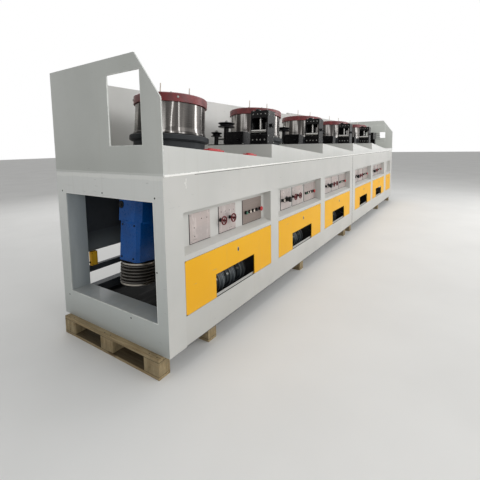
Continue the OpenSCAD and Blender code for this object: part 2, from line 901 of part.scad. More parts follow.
// Square block with cut corners, its top at z = 0
module cut_block(w, h, cut) {
    a = w / 2;
    translate([0, 0, -h]) linear_extrude(h) polygon([
        [-a + cut, -a], [a - cut, -a], [a, -a + cut], [a, a - cut],
        [a - cut, a], [-a + cut, a], [-a, a - cut], [-a, -a + cut]
    ]);
}

module motor() {
    translate([motor_x, motor_y, -deck_t]) {
        cut_block(motor_top_w, motor_top_h, 40);
        translate([0, 0, -motor_top_h - flange_t]) cylinder(r = flange_r, h = flange_t);
        translate([0, 0, -motor_top_h]) cut_block(motor_w, motor_h, 24);
        translate([0, 0, -motor_top_h - motor_h - pulley_drop - pulley_h + 6])
            cylinder(r = motor_shaft_r, h = pulley_h + pulley_drop);
    }
}

module motors() {
    color("royalblue") for (k = [0:block_last]) on_deck(k) motor();
}

// Grooved pulley, its top at z = 0
module pulley_outline() {
    r = pulley_r;
    bore = motor_shaft_r + pulley_gap;
    rim = [for (i = [0:belt_count - 1]) let (z = -pulley_cheek - i * belt_pitch) each [
        [r, z], [r - groove_d, z - belt_pitch * 0.3], [r - groove_d, z - belt_pitch * 0.7]
    ]];
    foot = [[r, pulley_cheek - pulley_h], [r, -pulley_h], [bore, -pulley_h]];
    polygon(concat([[bore, 0], [r, 0]], rim, foot));
}

module motor_pulley(k) {
    color("black") on_deck(k) translate([motor_x, motor_y, pulley_top]) rotate_extrude() pulley_outline();
}

module motor_pulley_1() {
    motor_pulley(0);
}

module motor_pulley_2() {
    motor_pulley(1);
}

module motor_pulley_3() {
    motor_pulley(2);
}

module motor_pulley_4() {
    motor_pulley(3);
}

module motor_pulley_5() {
    motor_pulley(4);
}

// Gear box below a drum with the belt guard at its foot
module gearbox() {
    guard_w = 2 * pulley_r + 40;
    body_x = drum_x - 60;
    seat_r = drum_x - motor_x - motor_top_w / 2 - flange_gap;
    seat_t = 20;
    neck_r = seat_r - 14;
    difference() {
        translate([drum_x, drum_y, -deck_t]) {
            translate([0, 0, -seat_t]) cylinder(r = seat_r, h = seat_t);
            translate([0, 0, -neck_h]) cylinder(r = neck_r, h = neck_h);
        }
        translate([drum_x, drum_y, -deck_t - bearing_depth])
            cylinder(r = shaft_r + shaft_gap, h = bearing_depth + eps);
    }
    translate([body_x, drum_y - gearbox_w / 2, guard_top])
        cube([gearbox_w, gearbox_w, -deck_t - neck_h - guard_top]);
    translate([guard_x, motor_y - guard_w / 2, guard_low])
        cube([body_x + gearbox_w - guard_x, guard_w, guard_top - guard_low]);
}

module gearboxes() {
    color("dimgray") for (k = [0:block_last]) on_deck(k) gearbox();
}

// Belts in the grooves of the motor pulley, running into the guard
module belts() {
    belt_w = belt_pitch * 0.4 - belt_gap;
    outer_r = pulley_r + belt_out;
    inner_r = pulley_r - groove_d + belt_gap;
    reach = guard_x - motor_x;
    color("black") for (k = [0:block_last], i = [0:belt_count - 1]) on_deck(k)
        translate([motor_x, motor_y, pulley_top - pulley_cheek - (i + 0.5) * belt_pitch - belt_w / 2])
            linear_extrude(belt_w) difference() {
                union() {
                    circle(outer_r);
                    translate([0, -outer_r]) square([reach, 2 * outer_r]);
                }
                circle(inner_r);
                translate([0, -inner_r]) square([reach + eps, 2 * inner_r]);
            }
}

// Ribbed air duct lying behind a cover
module air_duct() {
    length = duct_count * duct_pitch;
    rib_r = 45;
    core_r = duct_r - 30;
    rotate([0, 90, 0]) rotate_extrude() difference() {
        union() {
            square([core_r, length]);
            for (i = [0:duct_count - 1]) translate([duct_r - rib_r, (i + 0.5) * duct_pitch]) circle(rib_r);
        }
        translate([-2 * duct_r, -eps]) square([2 * duct_r, length + 2 * eps]);
    }
}

module air_ducts() {
    duct_l = duct_count * duct_pitch;
    color("black") machine() for (b = full_bays)
        translate([b[0] + cutout_x + (cutout_w - duct_l) / 2, duct_y, tray_z + tray_t + duct_r]) air_duct();
}

module junction_box() {
    box_x = 238;
    box_l = 60;
    box_low = mid_rail_z + mid_rail_h;
    color("gold") machine() translate([box_x, machine_w - rail_w / 2, box_low])
        cube([box_l, rail_w / 2 - sheet_t, rear_sheet_z - box_low]);
}

// Straightener's body on its leg, with rods that guide the wire over the tail deck
module wire_straightener() {
    tail_x = block_starts[block_last] + block_pitch;
    body_x = tail_x - straight_back;
    body_low = rod_z - rod_r - rod_cover;
    body_h = (rod_count - 1) * rod_pitch + 2 * (rod_r + rod_cover);
    rod_x = body_x + straight_l / 2;
    color("black") machine() translate([0, rod_y, low_z]) {
        translate([tail_x, -leg_side / 2, 0]) cube([leg_side, leg_side, body_low + eps]);
        translate([body_x, -straight_w / 2, body_low]) cube([straight_l, straight_w, body_h]);
        for (i = [0:rod_count - 1]) translate([rod_x, 0, rod_z + i * rod_pitch])
            rotate([0, 90, 0]) cylinder(r = rod_r, h = machine_l - rod_end - rod_x);
    }
}

timbers();
base_rails();
floor_trays();
posts();
end_frames();
end_plates();
front_panels();
rear_panels();
deck_near();
deck_far();
rear_walls();
front_covers();
cover_locks();
control_plates();
valves();
push_buttons();
gauges();
drum_bases();
die_boxes();
die_rollers();
guide_stands();
motors();
gearboxes();
belts();
air_ducts();
junction_box();
wire_straightener();
drum_1();
drum_2();
drum_3();
drum_4();
drum_5();
guide_sheave_2();
guide_sheave_3();
guide_sheave_4();
guide_sheave_5();
low_sheave_2();
low_sheave_3();
low_sheave_4();
low_sheave_5();
motor_pulley_1();
motor_pulley_2();
motor_pulley_3();
motor_pulley_4();
motor_pulley_5();
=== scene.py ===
import json
import math
import random

import bmesh
import bpy
from mathutils import Matrix, Vector


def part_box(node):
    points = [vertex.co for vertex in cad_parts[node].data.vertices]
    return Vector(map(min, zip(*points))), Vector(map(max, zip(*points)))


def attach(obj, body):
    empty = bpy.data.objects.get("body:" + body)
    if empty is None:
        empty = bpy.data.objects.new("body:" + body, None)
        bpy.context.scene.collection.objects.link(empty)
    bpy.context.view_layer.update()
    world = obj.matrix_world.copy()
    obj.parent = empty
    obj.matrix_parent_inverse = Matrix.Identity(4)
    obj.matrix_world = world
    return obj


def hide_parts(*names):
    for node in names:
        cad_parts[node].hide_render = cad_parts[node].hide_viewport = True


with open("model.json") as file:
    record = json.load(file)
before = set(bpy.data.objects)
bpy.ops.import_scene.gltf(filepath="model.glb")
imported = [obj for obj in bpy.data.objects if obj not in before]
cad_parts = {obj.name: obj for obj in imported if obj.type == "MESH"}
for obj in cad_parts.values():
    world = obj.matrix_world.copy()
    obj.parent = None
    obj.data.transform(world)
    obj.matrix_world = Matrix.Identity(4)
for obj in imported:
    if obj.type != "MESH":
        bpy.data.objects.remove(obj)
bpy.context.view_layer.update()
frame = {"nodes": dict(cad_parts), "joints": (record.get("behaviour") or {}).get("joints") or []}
scene = bpy.context.scene
dice = random.Random(7)
print("frame loaded:", len(frame["nodes"]), "nodes")


def placed(name, data):
    made = bpy.data.objects.new(name, data)
    scene.collection.objects.link(made)
    return made


def shift(x, y, z):
    return Matrix.Translation((x, y, z))


def spun(degrees, axis):
    return Matrix.Rotation(math.radians(degrees), 4, axis)


def polar(radius, angle, z):
    return shift(radius * math.cos(angle), radius * math.sin(angle), z)


# Camera at the photograph's place, worked out for a 480 px wide picture
shot = {
    "place": (-5.5569, -2.1644, 1.5325),
    "yaw": 56.419,
    "down": 5.445,
    "roll": -1.037,
    "focal": 333.6,
    "middle": (240, 178),
    "picture": 480,
}


def aimCamera():
    yaw, down = math.radians(shot["yaw"]), math.radians(shot["down"])
    ahead = Vector((math.sin(yaw) * math.cos(down), math.cos(yaw) * math.cos(down), -math.sin(down)))
    across = Vector((math.cos(yaw), -math.sin(yaw), 0))
    up = across.cross(ahead)
    turn = Matrix((across, up, -ahead)).transposed().to_4x4()
    data = bpy.data.cameras.new("photoView")
    data.sensor_width = 36
    data.lens = 36 * shot["focal"] / shot["picture"]
    data.shift_x = (shot["picture"] / 2 - shot["middle"][0]) / shot["picture"]
    data.shift_y = (shot["middle"][1] - shot["picture"] / 2) / shot["picture"]
    data.clip_end = 200
    camera = placed("photoView", data)
    camera.matrix_world = shift(*shot["place"]) @ turn @ spun(shot["roll"], "Z")
    scene.camera = camera


aimCamera()

# Places: the machine's own corner, and each deck with z square to it (metres)
line = {
    "corner": (-4.1, -0.625, 0.144),
    "length": 8.2,
    "drum": (0.655, 0.598, 0.143),
    "motor": (0.393, 0.645, 0),
    "drumHigh": 0.318,
    "bays": (0.173, 1.575, 2.977, 4.543, 5.945),
    "bayWidth": 1.235,
    "tailBay": (7.407, 0.6),
    "plateY": 0.08,
    "sections": ((0.165, 4.369), (4.371, 8.035)),
    "timbers": (0.004, 0.52, 2.3, 4.12, 4.47, 6.83, 8.196),
}
machine = Matrix.Translation(line["corner"])
joints = {j["name"]: j for j in frame["joints"]}
tilt = math.atan2(joints["drum_1_turn"]["axis"][0], joints["drum_1_turn"]["axis"][2])
lean = Matrix.Rotation(tilt, 4, "Y")
decks = []
for k in range(5):
    middle = Vector(joints["drum_%d_turn" % (k + 1)]["pos_m"]) - lean @ Vector(line["drum"])
    decks.append(Matrix.Translation(middle) @ lean)


# Materials

def tint(code):  # a colour written as on screen, made linear
    parts = [int(code[i:i + 2], 16) / 255 for i in (0, 2, 4)]
    return [c / 12.92 if c < 0.04045 else ((c + 0.055) / 1.055) ** 2.4 for c in parts] + [1]


class Flow:  # a socket that takes part in plain sums
    def __init__(self, look, socket):
        self.look, self.socket = look, socket

    def sum(self, kind, *values):
        return self.look.node("ShaderNodeMath", {"operation": kind}, dict(enumerate(values)))

    def __add__(self, other):
        return self.sum("ADD", self, other)

    def __sub__(self, other):
        return self.sum("SUBTRACT", self, other)

    def __rsub__(self, other):
        return self.sum("SUBTRACT", other, self)

    def __mul__(self, other):
        return self.sum("MULTIPLY", self, other)

    def __abs__(self):
        return self.sum("ABSOLUTE", self)

    __radd__ = __add__
    __rmul__ = __mul__

    def most(self, other):
        return self.sum("MAXIMUM", self, other)


class Nodes:  # makes nodes in one tree
    def __init__(self, tree):
        self.tree = tree

    def put(self, key, value, node=None):
        socket = (node or self.shader).inputs[key]
        if isinstance(value, Flow):
            self.tree.links.new(value.socket, socket)
        else:
            socket.default_value = value

    def node(self, kind, settings=None, values=None, out=0):
        made = self.tree.nodes.new(kind)
        for key, value in (settings or {}).items():
            if key == "stops":
                ramp = made.color_ramp.elements
                while len(ramp) < len(value):
                    ramp.new(0.5)
                for stop, (at, color) in zip(ramp, value):
                    stop.position = at
                    stop.color = tint(color)
            else:
                setattr(made, key, value)
        for key, value in (values or {}).items():
            self.put(key, value, made)
        return Flow(self, made.outputs[out])


class Look(Nodes):
    def __init__(self, name, color, rough, **fixed):
        self.material = bpy.data.materials.new(name)
        self.material.use_nodes = True
        super().__init__(self.material.node_tree)
        self.shader = self.tree.nodes["Principled BSDF"]
        self.put("Base Color", tint(color))
        self.put("Roughness", rough)
        for key, value in fixed.items():
            self.put(key.replace("_", " "), value)
        self.place = self.node("ShaderNodeTexCoord", out="Object")

    def axes(self, place=None):
        split = self.node("ShaderNodeSeparateXYZ", None, {0: place or self.place}, "X")
        outputs = split.socket.node.outputs
        return [Flow(self, outputs[name]) for name in "XYZ"]

    def point(self, x, y, z):
        return self.node("ShaderNodeCombineXYZ", None, {0: x, 1: y, 2: z})

    def stretched(self, scale, turn=(0, 0, 0)):
        return self.node("ShaderNodeMapping", None, {"Vector": self.place, "Scale": scale, "Rotation": turn})

    def centred(self, centre, turn=0.0):  # place measured from a centre, square to a leaning deck
        return self.node("ShaderNodeMapping", {"vector_type": "TEXTURE"},
                         {"Vector": self.place, "Location": centre, "Rotation": (0, turn, 0)})

    def noise(self, scale, detail=4, place=None, rough=0.55):
        values = {"Vector": place or self.place, "Scale": scale, "Detail": detail, "Roughness": rough}
        return self.node("ShaderNodeTexNoise", None, values, "Fac")

    def cells(self, scale, place=None):
        values = {"Vector": place or self.place, "Scale": scale}
        return self.node("ShaderNodeTexVoronoi", None, values, "Distance")

    def band(self, value, low, high):  # 0 at low, 1 at high
        return self.node("ShaderNodeMapRange", {"interpolation_type": "SMOOTHSTEP"},
                         {"Value": value, "From Min": low, "From Max": high})

    def span(self, value, low, high, soft=0.004):  # 1 between low and high
        return self.band(value, low - soft, low) * (1 - self.band(value, high, high + soft))

    def blend(self, mask, one, two):
        mix = self.node("ShaderNodeMix", {"data_type": "RGBA"}, {"Factor": mask}, 2)
        for key, color in ((6, one), (7, two)):
            self.put(key, tint(color) if isinstance(color, str) else color, mix.socket.node)
        return mix

    def raised(self, height, depth, strength=1.0, under=None):
        values = {"Height": height, "Distance": depth, "Strength": strength}
        if under:
            values["Normal"] = under
        return self.node("ShaderNodeBump", None, values)

    def patches(self, scale, detail, low, high):
        return self.band(self.noise(scale, detail), low, high)

    def streaks(self, scale, detail, low, high, turn=(0, 0, 0)):  # patches with a scale for each axis
        return self.band(self.noise(1, detail, self.stretched(scale, turn)), low, high)

    def mottle(self, scale, detail, low, high, one, two):  # two colours in soft patches
        return self.blend(self.patches(scale, detail, low, high), one, two)

    def grained(self, scale, detail, depth, strength=1.0, under=None):  # fine relief
        return self.raised(self.noise(scale, detail), depth, strength, under)

    def facing(self):  # how far a face looks up, from -1 to 1
        return self.axes(self.node("ShaderNodeNewGeometry", out="Normal"))[2]

    def finish(self, color, rough, normal):
        for key, value in (("Base Color", color), ("Roughness", rough), ("Normal", normal)):
            self.put(key, value)
        return self


# Dust, scuffs and orange peel over a colour
def paintSkin(look, color, rough, dust, wave=0.35, peel=0.00025):
    streak = look.streaks((26, 26, 1.2), 5, 0.52, 0.74)
    lying = look.band(look.facing(), 0.6, 0.95) * look.patches(4, 6, 0.35, 0.7)
    scuff = look.streaks((9, 9, 60), 6, 0.67, 0.71, (0.5, 0.2, 0.3))
    color = look.blend(streak * 0.12, color, dust)
    color = look.blend(lying * 0.3, color, dust)
    color = look.blend(scuff * 0.3, color, "8F928F")
    return look.finish(color, rough + 0.10 * look.noise(38, 5) + 0.2 * lying + 0.15 * scuff,
                       look.grained(420, 2, peel, 0.6, look.grained(11, 2, 0.0012, wave)))


# Sheets: floor dust below one height, and a painted highlight along the deck's rounded nose in front of one
# place
sheetWear = {"dustHigh": 0.55, "noseY": -0.6192}


def sheetPaint(name, light, dark, rough=0.32, dust="B9B4A6", coat=0.15, floorDust=0.2, lip=None, **skin):
    look = Look(name, light, rough, Coat_Weight=coat, Coat_Roughness=0.12)
    x, y, z = look.axes()
    color = look.mottle(1.3, 3, 0.3, 0.72, light, dark)
    low = look.band(sheetWear["dustHigh"] - z, 0.0, 0.4) * look.noise(6, 5)
    if lip:  # painted highlight: the rounded nose is painted bright
        color = look.blend(look.band(sheetWear["noseY"] - y, 0.0, 0.0008), color, lip)
    look.put("Specular IOR Level", 0.5 if coat else 0.25)
    return paintSkin(look, look.blend(low * floorDust, color, "8E887A"), rough, dust, **skin)


# End frames: painted shade, darker towards the floor and inside the window; painted highlights at the
# window's edges; light filler along the seam
endPaint = {
    "window": ((-0.517, 0.506), (0.361, 1.18)), "upper": ((-0.444, -0.105), (1.552, 2.032)),
    "seam": 1.352, "rubbed": (1.356, 1.372), "sill": 0.32, "half": 4.1, "frontY": -0.6175, "rearY": 0.6245,
}


def edgeLine(look, y, z, spanY, spanZ, width=0.0075):
    outY, outZ = (abs(at - sum(span) / 2) - (span[1] - span[0]) / 2 for at, span in ((y, spanY), (z, spanZ)))
    return 1 - look.band(abs(outY.most(outZ)), width * 0.5, width)


def endFramePaint():
    look = Look("endFrameGrey", "C9CCC8", 0.36, Coat_Weight=0.15, Coat_Roughness=0.15)
    x, y, z = look.axes()
    half = endPaint["half"]
    # painted shade: lighter upwards, darker towards the floor, darkest at the sill
    color = look.blend(look.band(z + 0.25 * look.noise(1.6, 4), 0.35, 1.4), "BDC2BF", "E0E2DF")
    sill = look.band(endPaint["sill"] - z, -0.03, 0.14)
    color = look.blend(sill * 0.35, color, "8C908D")
    # painted shade on the window's inner faces, deeper further in
    inside = look.band(half - 0.004 - abs(x), 0.0, 0.008) * look.band(endPaint["rearY"] - y, 0.0, 0.0004)
    shade = look.blend(look.streaks((15, 15, 2), 5, 0.3, 0.7), "A5ACAE", "B2B9BA")
    color = look.blend(inside, color, shade)
    color = look.blend(inside * look.band(half - abs(x), 0.03, 0.16), color, "A3ABAE")
    front = look.band(endPaint["frontY"] - y, 0.0, 0.001)
    color = look.blend(front, color, look.mottle(1.3, 3, 0.3, 0.72, "C9C8C4", "BFBFBB"))
    outer = look.band(abs(x), half - 0.0015, half - 0.0005)
    # painted highlight: a light line along the window's outer edges
    edge = edgeLine(look, y, z, *endPaint["window"]) * look.patches(14, 4, 0.3, 0.55) * outer
    color = look.blend(edge * 0.85, color, "EEF0EC")
    wavy = 0.018 - abs(z - endPaint["seam"] + 0.03 * look.noise(7, 4))
    color = look.blend(look.band(wavy, 0.0, 0.01) * (1 - front) * outer * 0.6, color, "EFF0EC")
    return paintSkin(look, color, 0.34, "B4B1A6", 0.5)


def endPlatePaint():
    look = Look("endPlateGrey", "BFC1BD", 0.34, Coat_Weight=0.15, Coat_Roughness=0.12)
    x, y, z = look.axes()
    color = look.mottle(1.2, 3, 0.3, 0.7, "C0C3BE", "B6B9B4")
    # painted light: lighter towards the front edge
    color = look.blend(look.band(-0.35 - y, 0.0, 0.25) * 0.5, color, "CDCFCB")
    # painted highlight: a light line round the upper window
    edge = edgeLine(look, y, z, *endPaint["upper"]) * look.patches(16, 4, 0.35, 0.6)
    color = look.blend(edge * 0.6, color, "E2E4E0")
    rubbed = look.span(z + 0.010 * look.noise(10, 3), *endPaint["rubbed"])
    color = look.blend(rubbed * 0.5, color, "DADCD8")
    return paintSkin(look, color, 0.3, "B4B1A6", 0.5)


def hardPaint(name, light, dark, rough=0.3, wear="6A6E70", chips=0.74, dust=0.25, **fixed):
    look = Look(name, light, rough, **fixed)
    chip = look.patches(75, 6, chips, chips + 0.03)
    dusty = look.band(look.facing(), 0.5, 0.95) * look.noise(14, 5)
    color = look.blend(dusty * dust, look.mottle(9, 5, 0.3, 0.75, light, dark), "8D8A83")
    return look.finish(look.blend(chip, color, wear), rough + 0.18 * look.noise(60, 4) + 0.25 * dusty,
                       look.raised(chip, -0.0004, 0.7, look.grained(160, 4, 0.0006, 0.5)))


# Rear sheets: light outside with seams; dark inside as painted shade, with a lighter band at the foot
rearPaint = {"seams": (-3.0, -2.0, -1.0, 1.2, 2.4, 3.4), "footHigh": 0.784, "faces": (0.6225, 0.6232)}


def rearSheetPaint():
    look = Look("rearSheet", "9DA2A0", 0.45, Specular_IOR_Level=0.25)
    x, y, z = look.axes()
    seam, *others = (abs(x - at) for at in rearPaint["seams"])
    for other in others:
        seam = seam.sum("MINIMUM", seam, other)
    outer = look.mottle(1.4, 3, 0.3, 0.7, "C3C5C1", "B8BBB7")
    outer = look.blend((1 - look.band(seam, 0.0012, 0.0024)) * 0.8, outer, "4A4D4C")
    # painted shade: the inner face is dark, lightening in a band towards the foot
    below = rearPaint["footHigh"] - z
    foot = look.blend(look.band(below, 0.0, 0.18), "42484D", "747B7F")
    inner = look.blend(look.band(below, 0.0, 0.004), look.mottle(3, 4, 0.3, 0.7, "30343A", "3A3F45"), foot)
    color = look.blend(look.band(y, *rearPaint["faces"]), inner, outer)
    return look.finish(look.blend(look.noise(30, 5) * 0.12, color, "7C7B76"), 0.42 + 0.2 * look.noise(40, 4),
                       look.grained(11, 2, 0.0012, 0.3, look.grained(420, 2, 0.0002, 0.5)))


# Floors and rails inside the base: their dark colours are painted shade, with wiped oil streaks
def darkSheet(name, light, dark, streak, rough=0.5, shine=0.2):
    look = Look(name, light, rough, Specular_IOR_Level=shine)
    wiped = look.streaks((3, 16, 16), 5, 0.5, 0.72)
    color = look.blend(wiped * 0.5, look.mottle(5, 5, 0.3, 0.7, light, dark), streak)
    return look.finish(color, rough - 0.15 * wiped + 0.2 * look.noise(50, 4),
                       look.grained(180, 3, 0.0004, 0.5, look.grained(7, 2, 0.002, 0.3)))


def turnedSteel(name, light, dark, rough=0.22, centre=(0, 0, 0), reflectionStrips=None, rim=None, edge=None):
    look = Look(name, light, rough, Metallic=1.0)
    x, y, z = look.axes(look.centred(centre, tilt))
    radius = look.node("ShaderNodeMath", {"operation": "SQRT"}, {0: x * x + y * y})
    rings = look.noise(6, 5, look.point(0.4 * x, 0.4 * y, z * 90))
    color = look.blend(rings, light, dark)
    if reflectionStrips:  # painted reflections: upright light and dark bands, standing for what round polished steel mirrors about it
        waves = look.noise(reflectionStrips["scale"], 2.5, look.point(x, y, 0.06 * z), 0.5)
        hairs = look.noise(60, 3, look.point(x, y, 0.02 * z)) * 0.08
        tone = look.node("ShaderNodeValToRGB", {"stops": reflectionStrips["stops"]}, {0: waves + hairs - 0.04})
        color = look.blend(rings * 0.45, tone, color)
    stain = look.patches(22, 6, 0.62, 0.72)
    color = look.blend(stain * 0.25, color, "5A5348")
    if edge:  # bare metal at the outer rims of the grooves, lighter still as a painted highlight
        color = look.blend(look.band(radius, edge - 0.004, edge - 0.001) * 0.8, color, "B5AFA5")
    dull = rough + 0.16 * rings
    if rim:
        mask = look.span(z, rim["low"], rim["high"], 0.0004)
        paint = look.mottle(14, 5, 0.3, 0.7, rim["light"], rim["dark"])
        # painted highlight on the red rim paint
        sheen = look.band(look.noise(7, 2, look.point(x, y, 0.2 * z)), 0.55, 0.75)
        color = look.blend(mask, color, look.blend(sheen * 0.35, paint, rim["sheen"]))
        look.put("Metallic", 1 - mask)
        dull = dull * (1 - mask) + mask * (0.3 + 0.15 * look.noise(50, 4))
    else:
        dull = dull + 0.15 * stain
    return look.finish(color, dull, look.raised(rings, 0.0004, 0.4))


# Timbers: long grain on the boards, end grain on the blocks between them, dark gaps where they meet
wood = {"blocks": (0.023, 0.121), "gaps": ((0.0205, 0.0235), (0.1205, 0.1235))}


def sawnWood():
    look = Look("sawnPine", "8A7148", 0.8, Specular_IOR_Level=0.2)
    x, y, z = look.axes()
    along = look.noise(1, 7, look.stretched((55, 4, 70)))
    ends = look.noise(1, 6, look.stretched((40, 34, 9)))
    block = look.span(z, *wood["blocks"], 0.001)
    grain = along * (1 - block) + ends * block
    rays = look.streaks((240, 9, 260), 4, 0.45, 0.65)
    knot = look.band(0.2 - look.cells(1, look.stretched((5, 2.6, 12))), 0.0, 0.09)
    stops = [(0.25, "665639"), (0.45, "968362"), (0.7, "B8A684")]
    color = look.node("ShaderNodeValToRGB", {"stops": stops}, {0: grain})
    lower, upper = (look.span(z, *gap, 0.001) for gap in wood["gaps"])
    grey, dirt = look.streaks((6.4, 1.92, 28.8), 2, 0.35, 0.65), look.patches(9, 6, 0.5, 0.75)
    for mask, share, shade in ((grey, 0.5, "8F8369"), (rays, 0.22, "5E4D33"), (knot, 0.8, "47301A"),
                               (lower.most(upper), 0.7, "2E2416"), (dirt, 0.4, "574F40")):
        color = look.blend(mask * share, color, shade)
    return look.finish(color, 0.72 + 0.2 * rays,
                       look.raised(grain, 0.0016, 0.8, look.raised(rays, 0.0006, 0.5)))


# Control plates: whitish film on brushed steel, thinner on the button plates and gone from the first one
bareSteel = {"span": (0.835, 1.232), "first": 1.0, "later": 0.3}


def brushedPlate():
    look = Look("stainlessPlate", "B9ADA9", 0.3, Metallic=0.35)
    x, y, z = look.axes()
    bare = 0.0
    for n, bay in enumerate(line["bays"]):
        low, high = (bay + line["corner"][0] + at for at in bareSteel["span"])
        bare = look.span(x, low, high) * bareSteel["later" if n else "first"] + bare
    brush = look.noise(1, 5, look.stretched((7, 60, 420)))
    film = look.patches(5, 3, 0.35, 0.68)
    wrinkle = look.streaks((30, 30, 9), 5, 0.55, 0.66, (0, 0.6, 0))
    color = look.blend(film * 0.6, look.blend(brush, "BFB6B3", "AAA09D"), "C8B9B4")
    color = look.blend(wrinkle * 0.3, color, "E6DEDA")
    steel = look.blend(brush, "978A84", "75685F")
    return look.finish(look.blend(bare, color, steel), 0.26 + 0.22 * brush + 0.12 * film,
                       look.raised(wrinkle, 0.0005, 0.5, look.raised(brush, 0.0001, 0.3)))


def softRubber(name, light, dark, rough=0.6, dust="77746C", **fixed):
    look = Look(name, light, rough, **fixed)
    dusty = look.band(look.facing(), 0.2, 0.9) * look.noise(20, 6)
    color = look.mottle(12, 5, 0.35, 0.7, light, dark)
    return look.finish(look.blend(dusty * 0.5, color, dust), rough + 0.2 * look.noise(45, 4),
                       look.grained(300, 3, 0.0003, 0.5))


# Small parts of steel or plastic
def fineFinish(name, light, dark, rough=0.3, grain=90, bump=0.0001, **fixed):
    look = Look(name, light, rough, **fixed)
    color = look.blend(look.noise(grain, 5), light, dark)
    normal = look.grained(grain * 6, 3, bump, 0.4)
    return look.finish(color, rough + 0.22 * look.noise(grain * 1.6, 4), normal)


looks = {
    "panel": sheetPaint("panelGrey", "C9C8C4", "BFBFBB", 0.3),
    # the deck's lip colour is a painted highlight on its rounded nose
    "deck": sheetPaint("deckGrey", "CFCFCB", "C5C6C2", 0.2, "A9A598", 0.4, lip="F4F3EF", wave=0.8),
    "cover": sheetPaint("coverYellow", "F0B41C", "EAAC18", 0.42, "D2AA58", 0.0, 0.12),
    "coverEdgeHighlight": sheetPaint("coverEdgeHighlight", "F6CF6C", "EFC45C", 0.42, "D2AA58", 0.0, 0.12),
    # painted light: a lighter copy of the cover yellow, so the box in the shade reads bright
    "litBoxYellow": sheetPaint("litBoxYellow", "FFC93A", "F8BE2C", 0.4, "D2AA58", 0.0, 0.12),
    "filler": sheetPaint("jointFiller", "EDEDE9", "E2E3DF", 0.3),
    "endFrame": endFramePaint(),
    "endPlate": endPlatePaint(),
    "rearSheet": rearSheetPaint(),
    # painted shade: near-black tray, dark rails and posts inside the base
    "tray": darkSheet("trayFloor", "141516", "1B1B1A", "2E2E2C", shine=0.05),
    "rail": darkSheet("railGrey", "44494D", "383C40", "5B5F61"),
    "post": darkSheet("postGrey", "6A6F72", "575C5F", "7E8284"),
    "wood": sawnWood(),
    "plate": brushedPlate(),
    "castGrey": hardPaint("castGrey", "2B2E31", "202326", 0.42, "4A4D4F", Specular_IOR_Level=0.25),
    "black": hardPaint("machineBlack", "0B0B0C", "070708", 0.2, "2E2E2F", 0.76, 0.1, Specular_IOR_Level=0.16),
    "sheave": turnedSteel("sheaveBlack", "2B2B2D", "19191B", 0.3),
    "blue": hardPaint("motorBlue", "00529F", "00468A", 0.2, "0C2A55", 0.8, 0.08, Specular_IOR_Level=0.2,
                      Coat_Weight=0.08, Coat_Roughness=0.1),
    "belt": softRubber("beltRubber", "55514C", "413D39", 0.3, "77726A", Specular_IOR_Level=0.5),
    "seal": softRubber("sealRubber", "1B1B1B", "111111", Specular_IOR_Level=0.2),
    "duct": softRubber("ductRubber", "4A5154", "363C40", 0.36, "83888A"),
    "chrome": fineFinish("rollerChrome", "C9C9C6", "96938E", 0.12, Metallic=1.0),
    "zinc": fineFinish("zincSteel", "A9AAA6", "7E7F7B", 0.34, Metallic=1.0),
    "rib": softRubber("ductRib", "9AA1A3", "7C8386", 0.35, "A3A6A6"),
    "darkSteel": fineFinish("darkSteel", "2D2E30", "1B1C1D", 0.38, Metallic=0.8),
    "alloy": fineFinish("brightAlloy", "BFC2C5", "9DA0A3", 0.28, Metallic=1.0),
    "wheelRed": fineFinish("wheelRed", "6E1519", "500E12", 0.25, 70, Specular_IOR_Level=0.4),
    "signalRed": fineFinish("signalRed", "C51C20", "A31317", 0.25, 70),
    "signalGreen": fineFinish("signalGreen", "2F7A5A", "22634A", 0.25, 70),
    "knobBlack": fineFinish("knobBlack", "121213", "0A0A0B", 0.25, 70, Specular_IOR_Level=0.3),
    "ivory": fineFinish("ivoryPlastic", "DDD3C6", "CBBFB2", 0.3, 70),
    # near-black for painted shadows, and for dark holes, sockets and marks
    "shadow": softRubber("shadowBlack", "0A0A0B", "050506", 0.8, "151515", Specular_IOR_Level=0.1),
}

nodeLooks = {
    "timbers": "wood", "base_rails": "rail", "floor_trays": "tray", "posts": "post",
    "end_frames": "endFrame", "end_plates": "endPlate", "front_panels": "panel",
    "rear_panels": "rearSheet", "rear_walls": "panel", "deck_near": "deck", "deck_far": "deck",
    "front_covers": "cover", "cover_locks": "darkSteel", "control_plates": "plate", "valves": "wheelRed",
    "push_buttons": "knobBlack", "gauges": "knobBlack", "drum_bases": "castGrey", "die_boxes": "black",
    "die_rollers": "chrome", "guide_stands": "black", "motors": "blue", "gearboxes": "castGrey",
    "belts": "belt", "air_ducts": "duct", "junction_box": "litBoxYellow", "wire_straightener": "black",
}


def dress(node, look):
    mesh = frame["nodes"][node].data
    mesh.materials.clear()
    mesh.materials.append(look.material)


for node, key in nodeLooks.items():
    dress(node, looks[key])

